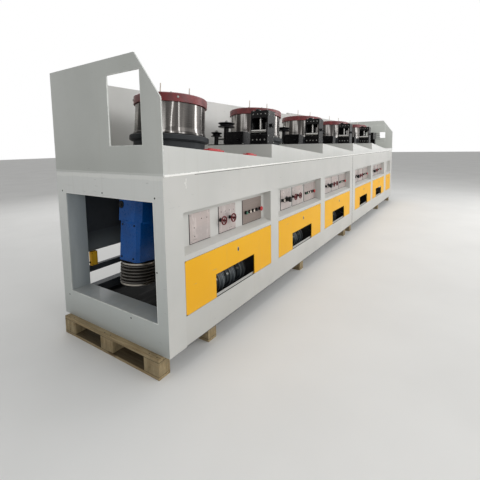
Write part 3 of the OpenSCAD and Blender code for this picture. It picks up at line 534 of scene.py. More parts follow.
drumLook = {
    "rim": {"low": 0.249, "high": 0.3205, "light": "74161A", "dark": "571013", "sheen": "A25F5B"},
    "reflectionStrips": {"scale": 7, "stops": [(0.3, "1E1D1C"), (0.4, "353331"), (0.46, "575451"), (0.5, "D8D4D0"),
                                     (0.535, "56524F"), (0.62, "2A2827"), (0.72, "5E5A57")]},
    "pulleyReflectionStrips": {"scale": 12, "stops": [(0.35, "2A2622"), (0.5, "474039"), (0.56, "7C746A"),
                                            (0.62, "433C35"), (0.75, "2A2622")]},
    "pulleyRimHighlight": 0.14,
}
for k in range(1, 6):
    drumPlace, pulleyPlace = joints["drum_%d_turn" % k]["pos_m"], decks[k - 1] @ Vector(line["motor"])
    dress("drum_%d" % k, turnedSteel("drumSteel%d" % k, "6A6765", "403D3B", 0.2, drumPlace,
                                     drumLook["reflectionStrips"], drumLook["rim"]))
    dress("motor_pulley_%d" % k, turnedSteel("pulleyIron%d" % k, "57504A", "3A342F", 0.32, pulleyPlace,
                                             drumLook["pulleyReflectionStrips"], edge=drumLook["pulleyRimHighlight"]))
    for sheave in ("guide_sheave_%d", "low_sheave_%d") if k > 1 else ():
        dress(sheave % k, looks["sheave"])
print("materials:", len(bpy.data.materials))


# Shapes

def meshes(count):
    return [bmesh.new() for n in range(count)]


def circle(count, start=0.0):  # angles round a circle, the first one a share of a step on
    return [2 * math.pi * (i + start) / count for i in range(count)]


def join(bm, part, at):  # adds a finished shape to a piece, in its place
    part.transform(at)
    mesh = bpy.data.meshes.new("part")
    part.to_mesh(mesh)
    part.free()
    bm.from_mesh(mesh)
    bpy.data.meshes.remove(mesh)


def soften(part, edges, size):
    bmesh.ops.bevel(part, geom=edges, offset=size, segments=2, profile=0.5, affect="EDGES", material=-1)


def block(bm, low, high, at=Matrix(), soft=0.0):
    part = bmesh.new()
    bmesh.ops.create_cube(part, size=1)
    bmesh.ops.scale(part, vec=Vector(high) - Vector(low), verts=part.verts)
    bmesh.ops.translate(part, vec=(Vector(high) + Vector(low)) / 2, verts=part.verts)
    if soft:
        soften(part, part.edges[:], soft)
    join(bm, part, at)


def rod(bm, radius, low, high, at=Matrix(), steps=24, soft=0.0, top=None):
    part = bmesh.new()
    bmesh.ops.create_cone(part, cap_ends=True, segments=steps, radius1=radius,
                          radius2=radius if top is None else top, depth=high - low)
    bmesh.ops.translate(part, vec=(0, 0, (high + low) / 2), verts=part.verts)
    if soft:
        soften(part, [e for e in part.edges if abs(e.verts[0].co.z - e.verts[1].co.z) < 1e-7], soft)
    join(bm, part, at)


def turned(bm, outline, at=Matrix(), steps=48, closed=True):  # outline of (radius, height), turned round z
    part = bmesh.new()
    points = [part.verts.new((r, 0, z)) for r, z in outline]
    edges = [part.edges.new((a, b)) for a, b in zip(points, points[1:])]
    if closed:
        edges.append(part.edges.new((points[-1], points[0])))
    bmesh.ops.spin(part, geom=points + edges, cent=(0, 0, 0), axis=(0, 0, 1), angle=2 * math.pi,
                   steps=steps, use_merge=True)
    bmesh.ops.remove_doubles(part, verts=part.verts, dist=1e-6)
    join(bm, part, at)


def ringBar(bm, radius, bar, at=Matrix(), steps=40, sides=10):  # a round bar bent into a ring
    turned(bm, [(radius + bar * math.cos(a), bar * math.sin(a)) for a in circle(sides)], at, steps)


def blob(bm, size, at=Matrix()):  # a soft lump with three half sizes
    part = bmesh.new()
    bmesh.ops.create_icosphere(part, subdivisions=2, radius=1)
    bmesh.ops.scale(part, vec=size, verts=part.verts)
    join(bm, part, at)


def hexBolt(bm, at, size):
    rod(bm, size * 1.25, 0, size * 0.22, at, 20)
    rod(bm, size, size * 0.2, size * 0.95, at @ Matrix.Rotation(dice.random(), 4, "Z"), 6, size * 0.12)
    rod(bm, size * 0.5, size * 0.9, size * 1.15, at, 12)


def boltRing(bm, at, count, radius, z, size, start=0.5):
    for a in circle(count, start):
        hexBolt(bm, at @ polar(radius, a, z), size)


def capScrew(bm, at, size):
    turned(bm, [(0, 0), (size, 0), (size, size * 0.85), (size * 0.86, size), (size * 0.55, size),
                (size * 0.5, size * 0.5), (0, size * 0.5)], at, 14, False)


def domeScrew(bm, at, size):
    turned(bm, [(0, 0), (size, 0), (size * 0.86, size * 0.32), (size * 0.5, size * 0.5), (0, size * 0.52)],
           at, 12, False)


def piece(name, bm, look, body="frame", stands=(), soft=True):
    bmesh.ops.remove_doubles(bm, verts=bm.verts, dist=1e-6)
    bmesh.ops.recalc_face_normals(bm, faces=bm.faces)
    mesh = bpy.data.meshes.new(name)
    bm.to_mesh(mesh)
    bm.free()
    mesh.materials.append(looks[look].material)
    made = placed(name, mesh)
    if soft:
        mesh.shade_smooth()
        mesh.set_sharp_from_angle(angle=math.radians(35))
    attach(made, body)
    if stands:
        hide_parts(*stands)


def blockPieces(k, body, *parts):  # name, mesh and look of each, numbered by the block
    for name, bm, look in parts:
        piece("%s%d" % (name, k + 1), bm, look, body)


def everyBlock(dressing, first=0):
    for k in range(first, len(decks)):
        dressing(k)


faceTurns = {"up": Matrix(), "front": spun(90, "X"), "rear": spun(-90, "X"),
             "near": spun(-90, "Y"), "far": spun(90, "Y")}
nearTurn, frontTurn = faceTurns["near"], faceTurns["front"]


def spot(x, y, z, face="up"):  # a place on the machine, with z pointing out of the named face
    return machine @ shift(x, y, z) @ faceTurns[face]


# Drums: screws on top and at the side of the red rim, clamp ring, hub and two rods
drumParts = {
    "rimRadius": 0.314, "rimScrews": 12, "screwCircle": 0.29, "sideTurns": (235, 325, 415, 505),
    "clampBolts": 8, "clampCircle": 0.08, "web": 0.29,
    "clampShape": ((0.03, 0), (0.13, 0), (0.13, 0.018), (0.126, 0.022), (0.034, 0.022), (0.03, 0.018)),
    "hubShape": ((0, 0), (0.03, 0), (0.03, 0.03), (0.026, 0.034), (0, 0.034)),
    "rodRadius": 0.005, "rodTop": 0.153, "rodPlaces": ((-0.109, 0.022), (0.147, -0.076)),
}


def dressDrum(k):
    at = decks[k] @ Matrix.Translation(line["drum"])
    high, web = line["drumHigh"], drumParts["web"]
    screws, clamp, rods = meshes(3)
    for a in circle(drumParts["rimScrews"], 0.5):
        capScrew(screws, at @ polar(drumParts["screwCircle"], a, high), 0.007)
    side = shift(drumParts["rimRadius"], 0, high - 0.034) @ spun(90, "Y")
    for turn in drumParts["sideTurns"]:
        hexBolt(screws, at @ spun(turn, "Z") @ side, 0.007)
    base = at @ shift(0, 0, web)
    turned(clamp, drumParts["clampShape"], base, 64)
    turned(clamp, drumParts["hubShape"], base, 32, False)
    boltRing(clamp, at, drumParts["clampBolts"], drumParts["clampCircle"], web + 0.022, 0.009, 0)
    for x, y in drumParts["rodPlaces"]:
        foot = at @ shift(x, y, web)
        rod(rods, drumParts["rodRadius"], 0, drumParts["rodTop"], foot, 12, 0.001)
        rod(rods, 0.012, 0, 0.024, foot, 20, 0.002)
    blockPieces(k, "drum_%d_body" % (k + 1), ("drumScrews", screws, "zinc"),
                ("drumClamp", clamp, "darkSteel"), ("drumRods", rods, "ivory"))


everyBlock(dressDrum)
print("drums dressed")

# Foot rings: bolts round the flange of each drum base, and a seal line on the deck
footRing = {"bolts": 12, "radius": 0.3285, "bolt": 0.008, "seal": 0.3395}


def dressFoot(k):
    at = decks[k] @ shift(line["drum"][0], line["drum"][1], 0)
    bolts, seal = meshes(2)
    boltRing(bolts, at, footRing["bolts"], footRing["radius"], 0, footRing["bolt"])
    ringBar(seal, footRing["seal"], 0.0028, at @ shift(0, 0, 0.002), 96, 8)
    blockPieces(k, "frame", ("footBolts", bolts, "zinc"), ("footSeal", seal, "seal"))


everyBlock(dressFoot)

# Handwheels: rim of round bar, sloping spokes, hub nut, dark stem and gland
wheel = {
    "radius": 0.032, "bar": 0.006, "high": 0.042, "spokes": 5,
    "x": (0.506, 0.639), "z": 0.793,
    "hub": (0.0105, 0.036, 0.052, 20, 0.002),  # radius, low, high, sides, soft edge
    "stem": ((0.016, 0, 0.006, 24, 0.001), (0.0125, 0.005, 0.02, 6, 0.001), (0.0065, 0.018, 0.038, 16, 0.0),
             (0.0062, 0.051, 0.058, 6, 0.001)),
}


def handwheels():
    rims, stems = meshes(2)
    for bay in line["bays"]:
        for x in wheel["x"]:
            at = spot(bay + x, line["plateY"], wheel["z"], "front")
            ringBar(rims, wheel["radius"], wheel["bar"], at @ shift(0, 0, wheel["high"]))
            for a in circle(wheel["spokes"]):
                spoke = shift(0.006, 0, wheel["high"] + 0.002) @ spun(95, "Y")
                turn = at @ Matrix.Rotation(a, 4, "Z")
                rod(rims, 0.0036, 0, wheel["radius"] - 0.006, turn @ spoke, 8, 0, 0.003)
            for bm, shapes in ((rims, (wheel["hub"],)), (stems, wheel["stem"])):
                for radius, low, high, sides, soft in shapes:
                    rod(bm, radius, low, high, at, sides, soft)
    piece("handwheelRims", rims, "wheelRed", stands=("valves",))
    piece("handwheelStems", stems, "darkSteel")


handwheels()

# Push buttons: black bezel, cap and, at the end of the row, a red stop cap
buttons = {
    "first": 0.89, "pitch": 0.062, "z": 0.785,
    "caps": ("signalGreen", "ivory", "ivory", "knobBlack", "signalRed"),
    "bezel": ((0.0125, 0), (0.0168, 0), (0.0168, 0.006), (0.0155, 0.01), (0.0145, 0.018), (0.0125, 0.018)),
    "cap": ((0, 0.003), (0.0122, 0.003), (0.0122, 0.019), (0.0105, 0.0215), (0, 0.0218)),
    "stop": ((0, 0.004), (0.0122, 0.004), (0.0122, 0.02), (0.0215, 0.022), (0.022, 0.026), (0.018, 0.031),
             (0.009, 0.032), (0, 0.032)),
}


def pushButtons():
    bezels = bmesh.new()
    caps = {key: bmesh.new() for key in sorted(set(buttons["caps"]))}
    for bay in line["bays"]:
        for i, key in enumerate(buttons["caps"]):
            at = spot(bay + buttons["first"] + i * buttons["pitch"], line["plateY"], buttons["z"], "front")
            shape, sides = ("stop", 28) if key == "signalRed" else ("cap", 24)
            turned(bezels, buttons["bezel"], at, 28)
            turned(caps[key], buttons[shape], at, sides, False)
    piece("buttonBezels", bezels, "knobBlack", stands=("push_buttons",))
    for key, bm in caps.items():
        piece("buttonCaps_" + key, bm, key)


pushButtons()
print("controls dressed")

# Control plates: screws, holes, rows of dashes, and a dark strip at the left and lower edges, a painted
# shadow
controlPlate = {
    "low": 0.684, "high": 0.904, "inset": 0.012, "screw": 0.0042,
    "first": ((0.138, 0.374), (0.488, 0.726), (0.84, 1.173)),
    "later": ((0.198, 0.453), (0.488, 0.805), (0.84, 1.227)),
    "tail": (7.545, 7.869),
    "holes": ((0.446, 0.851), (0.5095, 0.849), (0.361, 0.796), (0.364, 0.731),
              (0.695, 0.856), (0.75, 0.854), (0.81, 0.8535), (0.868, 0.85)),
    "laterHoles": (0.27, 0.40, 0.56, 0.70, 0.92, 1.1), "laterHoleZ": 0.86,
    "rows": ((0.345, 0.39, 0.706), (0.80, 0.85, 0.704)), "dashes": 6,
}


def plateDetail():
    screws, holes, frames = meshes(3)
    spans = [(bay + a, bay + b) for n, bay in enumerate(line["bays"])
             for a, b in controlPlate["first" if n == 0 else "later"]] + [controlPlate["tail"]]
    inset, low, high = (controlPlate[key] for key in ("inset", "low", "high"))
    y = line["plateY"]
    for a, b in spans:
        for x in (a + inset, b - inset):
            for z in (low + inset, high - inset):
                domeScrew(screws, spot(x, y, z, "front"), controlPlate["screw"])
        # painted shadow along each plate's left and lower edges
        block(frames, (a - 0.004, y - 0.0006, low), (a, y + 0.0028, high), machine)
        block(frames, (a - 0.004, y - 0.0006, low - 0.003), (b, y + 0.0028, low), machine)
    for x, z in controlPlate["holes"]:
        rod(holes, 0.0042, 0, 0.0006, spot(x, y, z, "front"), 16)
    for a, b, z in controlPlate["rows"]:
        dash = (b - a) / controlPlate["dashes"]
        for i in range(controlPlate["dashes"]):
            block(holes, (a + dash * i, y - 0.0004, z), (a + dash * (i + 0.6), y, z + 0.0016), machine)
    for bay in line["bays"][1:]:
        for x in controlPlate["laterHoles"]:
            rod(holes, 0.0036, 0, 0.0006, spot(bay + x, y, controlPlate["laterHoleZ"], "front"), 14)
    piece("plateScrews", screws, "zinc")
    piece("plateHoles", holes, "shadow", soft=False)
    piece("plateEdges", frames, "shadow", soft=False)


plateDetail()

# Dials of the later bays: a small gauge with its face and a deep black regulator
dial = {
    "small": 0.224, "large": 0.338, "z": 0.79, "ticks": 9, "grips": 12,
    "smallShape": ((0, 0), (0.0165, 0), (0.0165, 0.026), (0.022, 0.029), (0.022, 0.036), (0.0205, 0.038),
                   (0.019, 0.038), (0.019, 0.0355), (0, 0.0355)),
    "largeShape": ((0, 0), (0.029, 0), (0.03, 0.003), (0.03, 0.012), (0.022, 0.016), (0.022, 0.03),
                   (0.027, 0.034), (0.027, 0.06), (0.024, 0.064), (0.008, 0.064), (0.006, 0.0615),
                   (0, 0.0615)),
}


def dialRow():
    rings, faces = meshes(2)
    for bay in line["bays"][1:]:
        at = spot(bay + dial["small"], line["plateY"], dial["z"], "front")
        turned(rings, dial["smallShape"], at, 36, False)
        rod(faces, 0.0188, 0.0345, 0.0362, at, 32)
        for i in range(dial["ticks"]):
            tick = at @ spun(225 - 270 / (dial["ticks"] - 1) * i, "Z")
            block(rings, (0.0135, -0.0005, 0.036), (0.0175, 0.0005, 0.0368), tick)
        block(rings, (-0.003, -0.0007, 0.0364), (0.013, 0.0007, 0.0372), at @ spun(200, "Z"))
        at = spot(bay + dial["large"], line["plateY"], dial["z"], "front")
        turned(rings, dial["largeShape"], at, 36, False)
        for i in range(dial["grips"]):
            grip = at @ spun(360 / dial["grips"] * i, "Z") @ shift(0.0265, 0, 0)
            rod(rings, 0.0034, 0.035, 0.061, grip, 8, 0.001)
    piece("dialRings", rings, "knobBlack", stands=("gauges",))
    piece("dialFaces", faces, "ivory")


dialRow()

# Cover locks: oval escutcheon with a turned core and its slot
lock = {
    "z": 0.524, "x": 0.65, "tailX": 7.707, "core": 0.0104, "high": 0.0039, "oval": (0.85, 1.5, 1, 1),
    "ring": ((0.0085, 0), (0.0135, 0), (0.013, 0.0028), (0.0108, 0.0038), (0.0085, 0.0036)),
}


def coverLocks():
    shells, cores = meshes(2)
    for x in [bay + lock["x"] for bay in line["bays"]] + [lock["tailX"]]:
        at = spot(x, 0.006, lock["z"], "front")
        oval = at @ Matrix.Diagonal(lock["oval"])
        turned(shells, lock["ring"], oval, 36)
        rod(cores, lock["core"], 0, lock["high"], oval, 32, 0.0005)
        block(cores, (-0.0012, -0.006, 0.0036), (0.0012, 0.006, 0.0046), at)
    piece("lockShells", shells, "alloy", stands=("cover_locks",))
    piece("lockCores", cores, "knobBlack")


coverLocks()

# Covers: folded edges with painted highlights, and near-black strips in the gap round each cover, a painted
# shadow
coverTrim = {
    "low": 0.222, "high": 0.608, "y": 0.006, "gap": 0.003, "cutX": 0.342, "cutWidth": 0.565, "cutHigh": 0.182,
    "corner": 0.016, "edge": 0.002, "soft": 0.0006,
}


def hoop(bm, x0, x1, z0, z1, wide, y0, y1, sides="lrbt"):  # flat bars round an upright rectangle
    bars = {"l": (x0, z0, x0 + wide, z1), "r": (x1 - wide, z0, x1, z1),
            "b": (x0, z0, x1, z0 + wide), "t": (x0, z1 - wide, x1, z1)}
    for a, low, b, high in (bars[side] for side in sides):
        block(bm, (a, y0, low), (b, y1, high), machine)


def coverEdges():
    beads, gapShadows = meshes(2)
    low, high, y = (coverTrim[key] for key in ("low", "high", "y"))
    gap, corner, edge = (coverTrim[key] for key in ("gap", "corner", "edge"))

    # painted highlight along the cover's folded edges
    def bead(x0, x1, z0, z1):
        block(beads, (x0, y - 0.0008, z0), (x1, y + edge, z1), machine, coverTrim["soft"])

    for x, w in [(bay, line["bayWidth"]) for bay in line["bays"]] + [line["tailBay"]]:
        # painted shadow: near-black strips in the gap round each cover
        hoop(gapShadows, x - gap, x + w + gap, low - gap, high + gap, gap, y + 0.004, y + 0.007)
        bead(x + corner, x + w - corner, high - edge, high)
        bead(x, x + edge, low + corner, high - corner)
        bead(x + w - edge, x + w, low + corner, high - corner)
        if w == line["bayWidth"]:
            a, thin = x + coverTrim["cutX"], gap / 2
            b, top = a + coverTrim["cutWidth"], low + coverTrim["cutHigh"] + thin
            bead(x + corner, a, low, low + edge)
            bead(b, x + w - corner, low, low + edge)
            # painted shadow along the cut-out's sides and top
            hoop(gapShadows, a - thin, b + thin, low, top, thin, y - 0.0006, y + edge, "lrt")
    piece("coverEdges", beads, "coverEdgeHighlight")
    piece("coverGapShadows", gapShadows, "shadow", soft=False)


coverEdges()

# Front: a dark strip below the lip, for the seam there and the lip's painted shadow; a dark seam between the
# sections with a light edge; and beads of filler
seams = {
    "lip": ((0.3, 4.34), (4.4, 8.03)), "low": 0.002, "lipLow": 1.1965, "high": 1.199,
    "dark": (4.364, 4.3765), "light": (4.3765, 4.385), "faceY": 0.0066,
}
filler = {
    "corner": 26, "cornerX": 0.011, "cornerZ": (1.212, 0.19), "lip": 60, "lipX": (0.02, 1.5), "lipZ": 1.2135,
    "run": ((0.211, 1.17), (0.21, 1.155), (0.2, 1.148), (0.208, 1.135), (0.209, 1.118)),
}


def frontJoints():
    seam, edge, lumps = meshes(3)
    # the strip below the lip: the seam there and the lip's painted shadow
    bars = [(seam, span, 0.0052, seams["lipLow"]) for span in seams["lip"]]
    bars += [(seam, seams["dark"], 0.0054, seams["low"]), (edge, seams["light"], 0.0056, seams["low"])]
    for bm, (a, b), y, low in bars:
        block(bm, (a, y, low), (b, seams["faceY"], seams["high"]), machine)
    piece("jointEdge", edge, "filler")
    start, length = filler["cornerZ"]
    for i in range(filler["corner"]):
        z, size = start + length * i / filler["corner"], dice.uniform(0.0025, 0.0055)
        sizes = (size, size * 0.7, dice.uniform(0.006, 0.011))
        blob(lumps, sizes, spot(filler["cornerX"] + dice.uniform(0, 0.003), 0.0075, z))
    start, length = filler["lipX"]
    for i in range(filler["lip"]):
        x, size = start + length * (i / filler["lip"]) ** 1.3, dice.uniform(0.0016, 0.0036)
        sizes = (dice.uniform(0.008, 0.02), size, size)
        blob(lumps, sizes, spot(x, 0.0065, filler["lipZ"] + dice.uniform(-0.001, 0.002)))
    for x, z in filler["run"]:
        blob(lumps, (dice.uniform(0.002, 0.004), 0.0014, dice.uniform(0.007, 0.012)), spot(x, 0.0062, z))
    piece("lipSeam", seam, "shadow", soft=False)
    piece("jointFiller", lumps, "filler")


frontJoints()

# End frames: small countersunk screws round the windows
frameScrews = {
    "places": ((1.177, 1.053), (0.641, 1.066), (0.087, 1.065),
               (1.172, 0.172), (0.383, 0.182), (0.094, 0.572)),  # y and z
    "head": ((0, -0.0006), (0.0065, -0.0006), (0.0065, 0.0002), (0.0039, 0.0005), (0, 0.0005)),
}


def endScrews():
    heads, sockets = meshes(2)
    for y, z in frameScrews["places"]:
        for x, face in ((0.0, "near"), (line["length"], "far")):
            turned(heads, frameScrews["head"], spot(x, y, z, face), 20, False)
            rod(sockets, 0.003, 0.0003, 0.0008, spot(x, y, z, face), 6)
    piece("endScrews", heads, "darkSteel")
    piece("endSockets", sockets, "shadow", soft=False)


endScrews()

# Rear: screws along the sheets' edges
rear = {"y": 1.25, "low": 0.475, "high": 1.19, "step": 0.2, "inset": 0.02, "sunk": 0.0022, "screw": 0.005}


def rearDetail():
    screws, inset = bmesh.new(), rear["inset"]
    for a, b in line["sections"]:
        count = int((b - a) / rear["step"])
        for i in range(count + 1):
            x = a + inset + (b - a - 2 * inset) * i / count
            for z in (rear["low"], rear["high"]):
                domeScrew(screws, spot(x, rear["y"] - rear["sunk"], z, "rear"), rear["screw"])
    piece("rearScrews", screws, "zinc")


rearDetail()

# Nail heads over the timbers' blocks, on the boards' uncovered edges
nails = {"y": (0.1, 0.17, 0.6, 0.66, 1.08, 1.15), "x": (-0.032, 0.03), "radius": 0.004}


def timberNails():
    heads = bmesh.new()
    for x in line["timbers"]:
        for y in nails["y"]:
            for dx in nails["x"]:
                at = spot(x + dx, y + dice.uniform(-0.01, 0.01), -0.0002)
                rod(heads, nails["radius"], 0, 0.0012, at, 10)
    piece("timberNails", heads, "darkSteel")


timberNails()

# Junction box: lid with its screws and a cable gland
junction = {"x": (0.238, 0.298), "y": (1.21, 1.246), "z": (0.335, 0.46)}


def junctionDetail():
    lid, screws = meshes(2)
    (x0, x1), (y0, y1), (z0, z1) = junction["x"], junction["y"], junction["z"]
    block(lid, (x0 + 0.003, y0 - 0.003, z0 + 0.003), (x1 - 0.003, y0 + 0.001, z1 - 0.003), machine, 0.001)
    block(lid, (x0 - 0.002, y0 + 0.003, z0 + 0.004), (x0 + 0.001, y1 - 0.003, z1 - 0.004), machine, 0.0008)
    for x in (x0 + 0.009, x1 - 0.009):
        for z in (z0 + 0.01, z1 - 0.01):
            domeScrew(screws, spot(x, y0 - 0.003, z, "front"), 0.0035)
    rod(screws, 0.009, 0, 0.01, spot(x0, y0 + 0.018, z0 + 0.03, "near"), 6, 0.001)
    piece("junctionLid", lid, "litBoxYellow")
    piece("junctionScrews", screws, "darkSteel")


junctionDetail()

# Air ducts: light ribs, dark clamping bands in the valleys, and on each band a light zinc tab with its screw,
# a painted reflection where the lobes show bright spots
duct = {
    "start": 0.212, "pitch": 0.165, "count": 5, "tab": (0.014, 0.026, 0.01), "tabTurn": -24,
    "ribs": ((-0.032, 0.1118), (0.0, 0.1248), (0.032, 0.1118)), "ribBar": 0.0035,
    "band": ((0.0925, -0.006), (0.0965, -0.006), (0.0975, 0), (0.0965, 0.006), (0.0925, 0.006)),
}


def ductDetail():
    bands, glintTabs, ribs = meshes(3)
    low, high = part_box("air_ducts")
    y, z = ((low[i] + high[i]) / 2 - line["corner"][i] for i in (1, 2))
    reach, (tx, ty, tz) = (high[2] - low[2]) / 2 * 0.98, duct["tab"]
    for bay in line["bays"]:
        start, pitch = bay + duct["start"], duct["pitch"]
        for i in range(duct["count"]):
            for dx, r in duct["ribs"]:
                ringBar(ribs, r, duct["ribBar"], spot(start + (i + 0.5) * pitch + dx, y, z, "far"), 40, 6)
        for i in range(1, duct["count"]):
            turned(bands, duct["band"], spot(start + i * pitch, y, z, "far"), 40)
            # painted reflection: a light tab at the top front of each band
            side = machine @ shift(start + i * pitch, y, z) @ spun(duct["tabTurn"], "X")
            block(glintTabs, (-tx, -reach, -tz), (tx, -reach + ty, tz), side, 0.002)
            rod(glintTabs, 0.004, reach - 0.002, reach + 0.004, side @ spun(90, "X"), 6)
    piece("ductBands", bands, "darkSteel")
    piece("ductGlintTabs", glintTabs, "zinc")
    piece("ductRibs", ribs, "rib")


ductDetail()

# Motors: flange bolts and collar, oil plug, terminal box, foot plate and ribs
motorParts = {
    "top": 0.27, "low": 0.234, "flangeZ": -0.568, "flangeRadius": 0.128, "bolts": 8,
    "topBolts": ((-0.06, -0.1), (0.06, -0.1), (-0.06, -0.3), (0.06, -0.3)),
    "lowBolts": ((-0.07, -0.6), (-0.07, -0.86), (0.07, -0.6), (0.07, -0.86)),
    "plug": ((0, 0), (0.03, 0), (0.03, 0.003), (0.026, 0.005), (0.023, 0.003), (0, 0.003)),
    "plugRing": ((0.012, 0.003), (0.018, 0.003), (0.018, 0.006), (0.012, 0.006)),
    "collar": ((0.1, 0.002), (0.135, 0.002), (0.1375, 0.005), (0.135, 0.008)),
    "plugAt": (0.07, -0.44), "boxZ": -0.25, "ribs": 7, "ribPitch": 0.018, "ribZ": (-0.86, -0.6),
}


def motorDetail(k):
    at = decks[k] @ shift(*line["motor"])
    bolts, plugs, box = meshes(3)
    flangeZ = motorParts["flangeZ"]
    boltRing(bolts, at, motorParts["bolts"], motorParts["flangeRadius"], flangeZ, 0.008)
    half, low = motorParts["top"] / 2, motorParts["low"] / 2
    side = at @ shift(-half, *motorParts["plugAt"]) @ nearTurn
    turned(plugs, motorParts["plug"], side, 36, False)
    turned(plugs, motorParts["plugRing"], side, 28)
    rod(plugs, 0.009, 0.002, 0.009, side, 6, 0.001)
    for x, places, size in ((-half, motorParts["topBolts"], 0.007), (-low, motorParts["lowBolts"], 0.0065)):
        for y, z in places:
            hexBolt(bolts, at @ shift(x, y, z) @ nearTurn, size)
    turned(box, [(r, flangeZ + z) for r, z in motorParts["collar"]], at, 64)
    front = at @ shift(0, -half, motorParts["boxZ"]) @ frontTurn
    block(box, (-0.06, -0.05, 0), (0.06, 0.05, 0.042), front, 0.004)
    block(box, (-0.064, -0.054, 0.04), (0.064, 0.054, 0.048), front, 0.003)
    block(box, (-0.1, -0.104, -0.888), (0.1, 0.104, -0.878), at, 0.004)
    foot, head = motorParts["ribZ"]
    for i in range(motorParts["ribs"]):
        y = motorParts["ribPitch"] * (i - (motorParts["ribs"] - 1) / 2)
        block(box, (0, y - 0.002, foot), (0.012, y + 0.002, head), at @ shift(low, 0, 0), 0.001)
    blockPieces(k, "frame", ("motorBolts", bolts, "darkSteel"), ("motorPlugs", plugs, "darkSteel"),
                ("motorBoxes", box, "blue"))


everyBlock(motorDetail)
print("motors dressed")

# Die boxes: bolts, black foot and wear plates, black star knobs
dieParts = {
    "x": 0.04, "y": 0.08, "length": 0.15, "width": 0.2, "high": 0.345, "bolt": 0.007,
    "frontZ": (0.03, 0.09, 0.3, 0.325), "nearZ": ((0.05, 1.0), (0.31, 0.8)),  # with a share of the size
}


def starKnob(bm, at, size=0.02, arms=5):
    rod(bm, size * 0.55, 0, size * 0.9, at, 20, size * 0.1)
    for a in circle(arms):
        rod(bm, size * 0.36, size * 0.35, size * 1.05, at @ polar(size * 0.68, a, 0), 12, size * 0.12)


def dieDetail(k):
    at = decks[k]
    bolts, plates, knobs = meshes(3)
    x0, y0, size = dieParts["x"], dieParts["y"], dieParts["bolt"]
    x1, y1 = x0 + dieParts["length"], y0 + dieParts["width"]
    for x in (x0 + 0.02, x1 - 0.02):
        for y in (y0 + 0.02, (y0 + y1) / 2, y1 - 0.02):
            hexBolt(bolts, at @ shift(x, y, dieParts["high"]), size)
        for z in dieParts["frontZ"]:
            hexBolt(bolts, at @ shift(x, y0, z) @ frontTurn, size * 0.8)
    for y in (y0 + 0.03, y0 + 0.08, y1 - 0.08, y1 - 0.03):
        for z, share in dieParts["nearZ"]:
            hexBolt(bolts, at @ shift(x0, y, z) @ nearTurn, size * share)
    block(plates, (x0 - 0.012, y0 - 0.012, 0), (x1 + 0.03, y1 + 0.012, 0.012), at, 0.002)
    block(plates, (x0 - 0.003, y0 + 0.016, 0.09), (x0 + 0.004, y1 - 0.016, 0.108), at, 0.001)
    starKnob(knobs, at @ shift(x0 + 0.075, y0, 0.2) @ frontTurn, 0.022)
    starKnob(knobs, at @ shift(x0 + 0.05, y1 - 0.05, dieParts["high"]), 0.024)
    blockPieces(k, "frame", ("dieBolts", bolts, "zinc"), ("diePlates", plates, "black"),
                ("dieKnobs", knobs, "knobBlack"))


everyBlock(dieDetail, 1)

# Guide units: nuts on the pins, lid with its screws, foot bolts and a cable gland
guideParts = {
    "x": 0.115, "nuts": ((0.64, 0.263, 0.016), (0.775, 0.163, 0.014)),  # y, z and size of each
    "boxX": 0.04, "boxY": 0.37, "boxHigh": 0.138,
}


def guideDetail(k):
    at = decks[k]
    bolts, lid = meshes(2)
    for y, z, size in guideParts["nuts"]:
        hexBolt(bolts, at @ shift(guideParts["x"], y, z), size)
    bx, by, high = (guideParts[key] for key in ("boxX", "boxY", "boxHigh"))
    block(lid, (bx + 0.006, by + 0.006, high - 0.001), (bx + 0.144, by + 0.209, high + 0.007), at, 0.002)
    for dx in (0.018, 0.132):
        for dy in (0.018, 0.107, 0.197):
            capScrew(bolts, at @ shift(bx + dx, by + dy, high + 0.007), 0.0055)
    for dx in (-0.004, 0.154):
        for dy in (-0.004, 0.24, 0.41):
            hexBolt(bolts, at @ shift(bx + dx, by + dy, 0.012), 0.007)
    gland = at @ shift(bx, by + 0.06, 0.06) @ nearTurn
    rod(lid, 0.014, 0, 0.012, gland, 6, 0.001)
    rod(lid, 0.011, 0.01, 0.026, gland, 20, 0.002, 0.008)
    blockPieces(k, "frame", ("guideBolts", bolts, "zinc"), ("guideLids", lid, "black"))


everyBlock(guideDetail, 1)
print("wire guides dressed")

# Straightener: bolts on its body and foot, foot plate, and collars and caps on the rods
straightener = {
    "x": (7.08, 7.4), "y": (0.25, 0.35), "z": (1.5, 1.659), "leg": (7.25, 7.35), "deck": 1.27, "foot": 0.012,
    "rods": (1.512, 1.557, 1.602, 1.647), "end": 8.115,
}


def straightenerDetail():
    bolts, plates = meshes(2)
    (x0, x1), (y0, y1), (z0, z1), (a, b) = (straightener[key] for key in ("x", "y", "z", "leg"))
    middle, deck = (y0 + y1) / 2, straightener["deck"]
    foot = deck + straightener["foot"]
    for x in (x0 + 0.03, (x0 + x1) / 2, x1 - 0.03):
        for z in (z0 + 0.03, z1 - 0.03):
            hexBolt(bolts, spot(x, y0, z, "front"), 0.008)
        hexBolt(bolts, spot(x, middle, z1), 0.009)
    block(plates, (a - 0.03, y0 - 0.03, deck), (b + 0.03, y1 + 0.03, foot), machine, 0.002)
    for x in (a - 0.016, b + 0.016):
        for y in (y0 - 0.016, y1 + 0.016):
            hexBolt(bolts, spot(x, y, foot), 0.008)
    for z in straightener["rods"]:
        rod(plates, 0.012, 0, 0.014, spot(x1, middle, z, "far"), 20, 0.002)
        rod(plates, 0.0095, -0.02, 0.0, spot(straightener["end"], middle, z, "far"), 16, 0.002)
    piece("straightenerBolts", bolts, "zinc")
    piece("straightenerPlates", plates, "black")


straightenerDetail()

# Deck: two red pads at the front edge of the first block
pads = {"spans": ((0.48, 0.67), (1.02, 1.17)), "y": (0.012, 0.07), "high": 0.014}


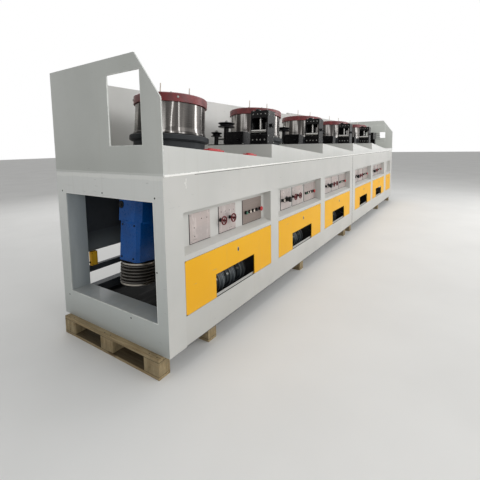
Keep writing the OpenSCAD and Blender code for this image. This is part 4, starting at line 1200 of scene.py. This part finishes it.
def deckPads():
    red, (front, back), high = bmesh.new(), pads["y"], pads["high"]
    for a, b in pads["spans"]:
        block(red, (a, front, 0), (b, back, high), decks[0], 0.005)
        block(red, (a + 0.03, front + 0.015, high - 0.002),
              (b - 0.03, back - 0.015, high + 0.008), decks[0], 0.004)
    piece("deckPads", red, "signalRed")


deckPads()

# Studio: pale floor, soft lamps, white background
studio = {
    "world": 0.42,
    "lamps": (  # name, place, aim, size, power
        ("keyLamp", (-1.5, -8, 5), (-0.5, 0, 1), (8, 4), 282),
        ("cornerLamp", (-6.2, -3.2, 1.9), (-3.6, -0.3, 1.0), (1.2, 1.2), 16),
        ("topLamp", (0, -0.5, 7), (0, 0, 1.3), (10, 3), 110),
        ("farLamp", (3.5, -5, 3), (2.5, 0, 1), (4, 2), 100),
        ("backLamp", (0, 7, 5), (0, 0, 1), (8, 3), 160),
    ),
}


def buildStudio():
    look = Look("paleFloor", "E4E4E2", 0.85)
    look.put("Base Color", look.mottle(0.8, 3, 0.3, 0.7, "E6E6E4", "E1E1DF"))
    bm = bmesh.new()
    bmesh.ops.create_grid(bm, x_segments=1, y_segments=1, size=60)
    mesh = bpy.data.meshes.new("studioFloor")
    bm.to_mesh(mesh)
    bm.free()
    mesh.materials.append(look.material)
    floor = placed("studioFloor", mesh)

    world = bpy.data.worlds.new("studioAir")
    world.use_nodes = True
    scene.world = world
    world.node_tree.nodes.clear()
    air = Nodes(world.node_tree)
    path = air.node("ShaderNodeLightPath").socket.node.outputs
    kinds = ("Is Camera Ray", "Is Glossy Ray", "Is Transmission Ray")
    camera, glossy, clear = (Flow(air, path[kind]) for kind in kinds)
    soft, white = (air.node("ShaderNodeBackground", None, {"Color": (1, 1, 1, 1), "Strength": strength})
                   for strength in (studio["world"], 1))
    mix = air.node("ShaderNodeMixShader", None, {0: camera.most(glossy).most(clear), 1: soft, 2: white})
    air.put("Surface", mix, air.tree.nodes.new("ShaderNodeOutputWorld"))

    for name, place, aim, size, power in studio["lamps"]:
        data = bpy.data.lights.new(name, "AREA")
        data.shape = "RECTANGLE"
        data.size, data.size_y = size
        data.energy = power
        lamp = placed(name, data)
        lamp.location = place
        lamp.rotation_euler = (Vector(aim) - Vector(place)).to_track_quat("-Z", "Y").to_euler()


buildStudio()
scene.view_settings.view_transform = "Standard"
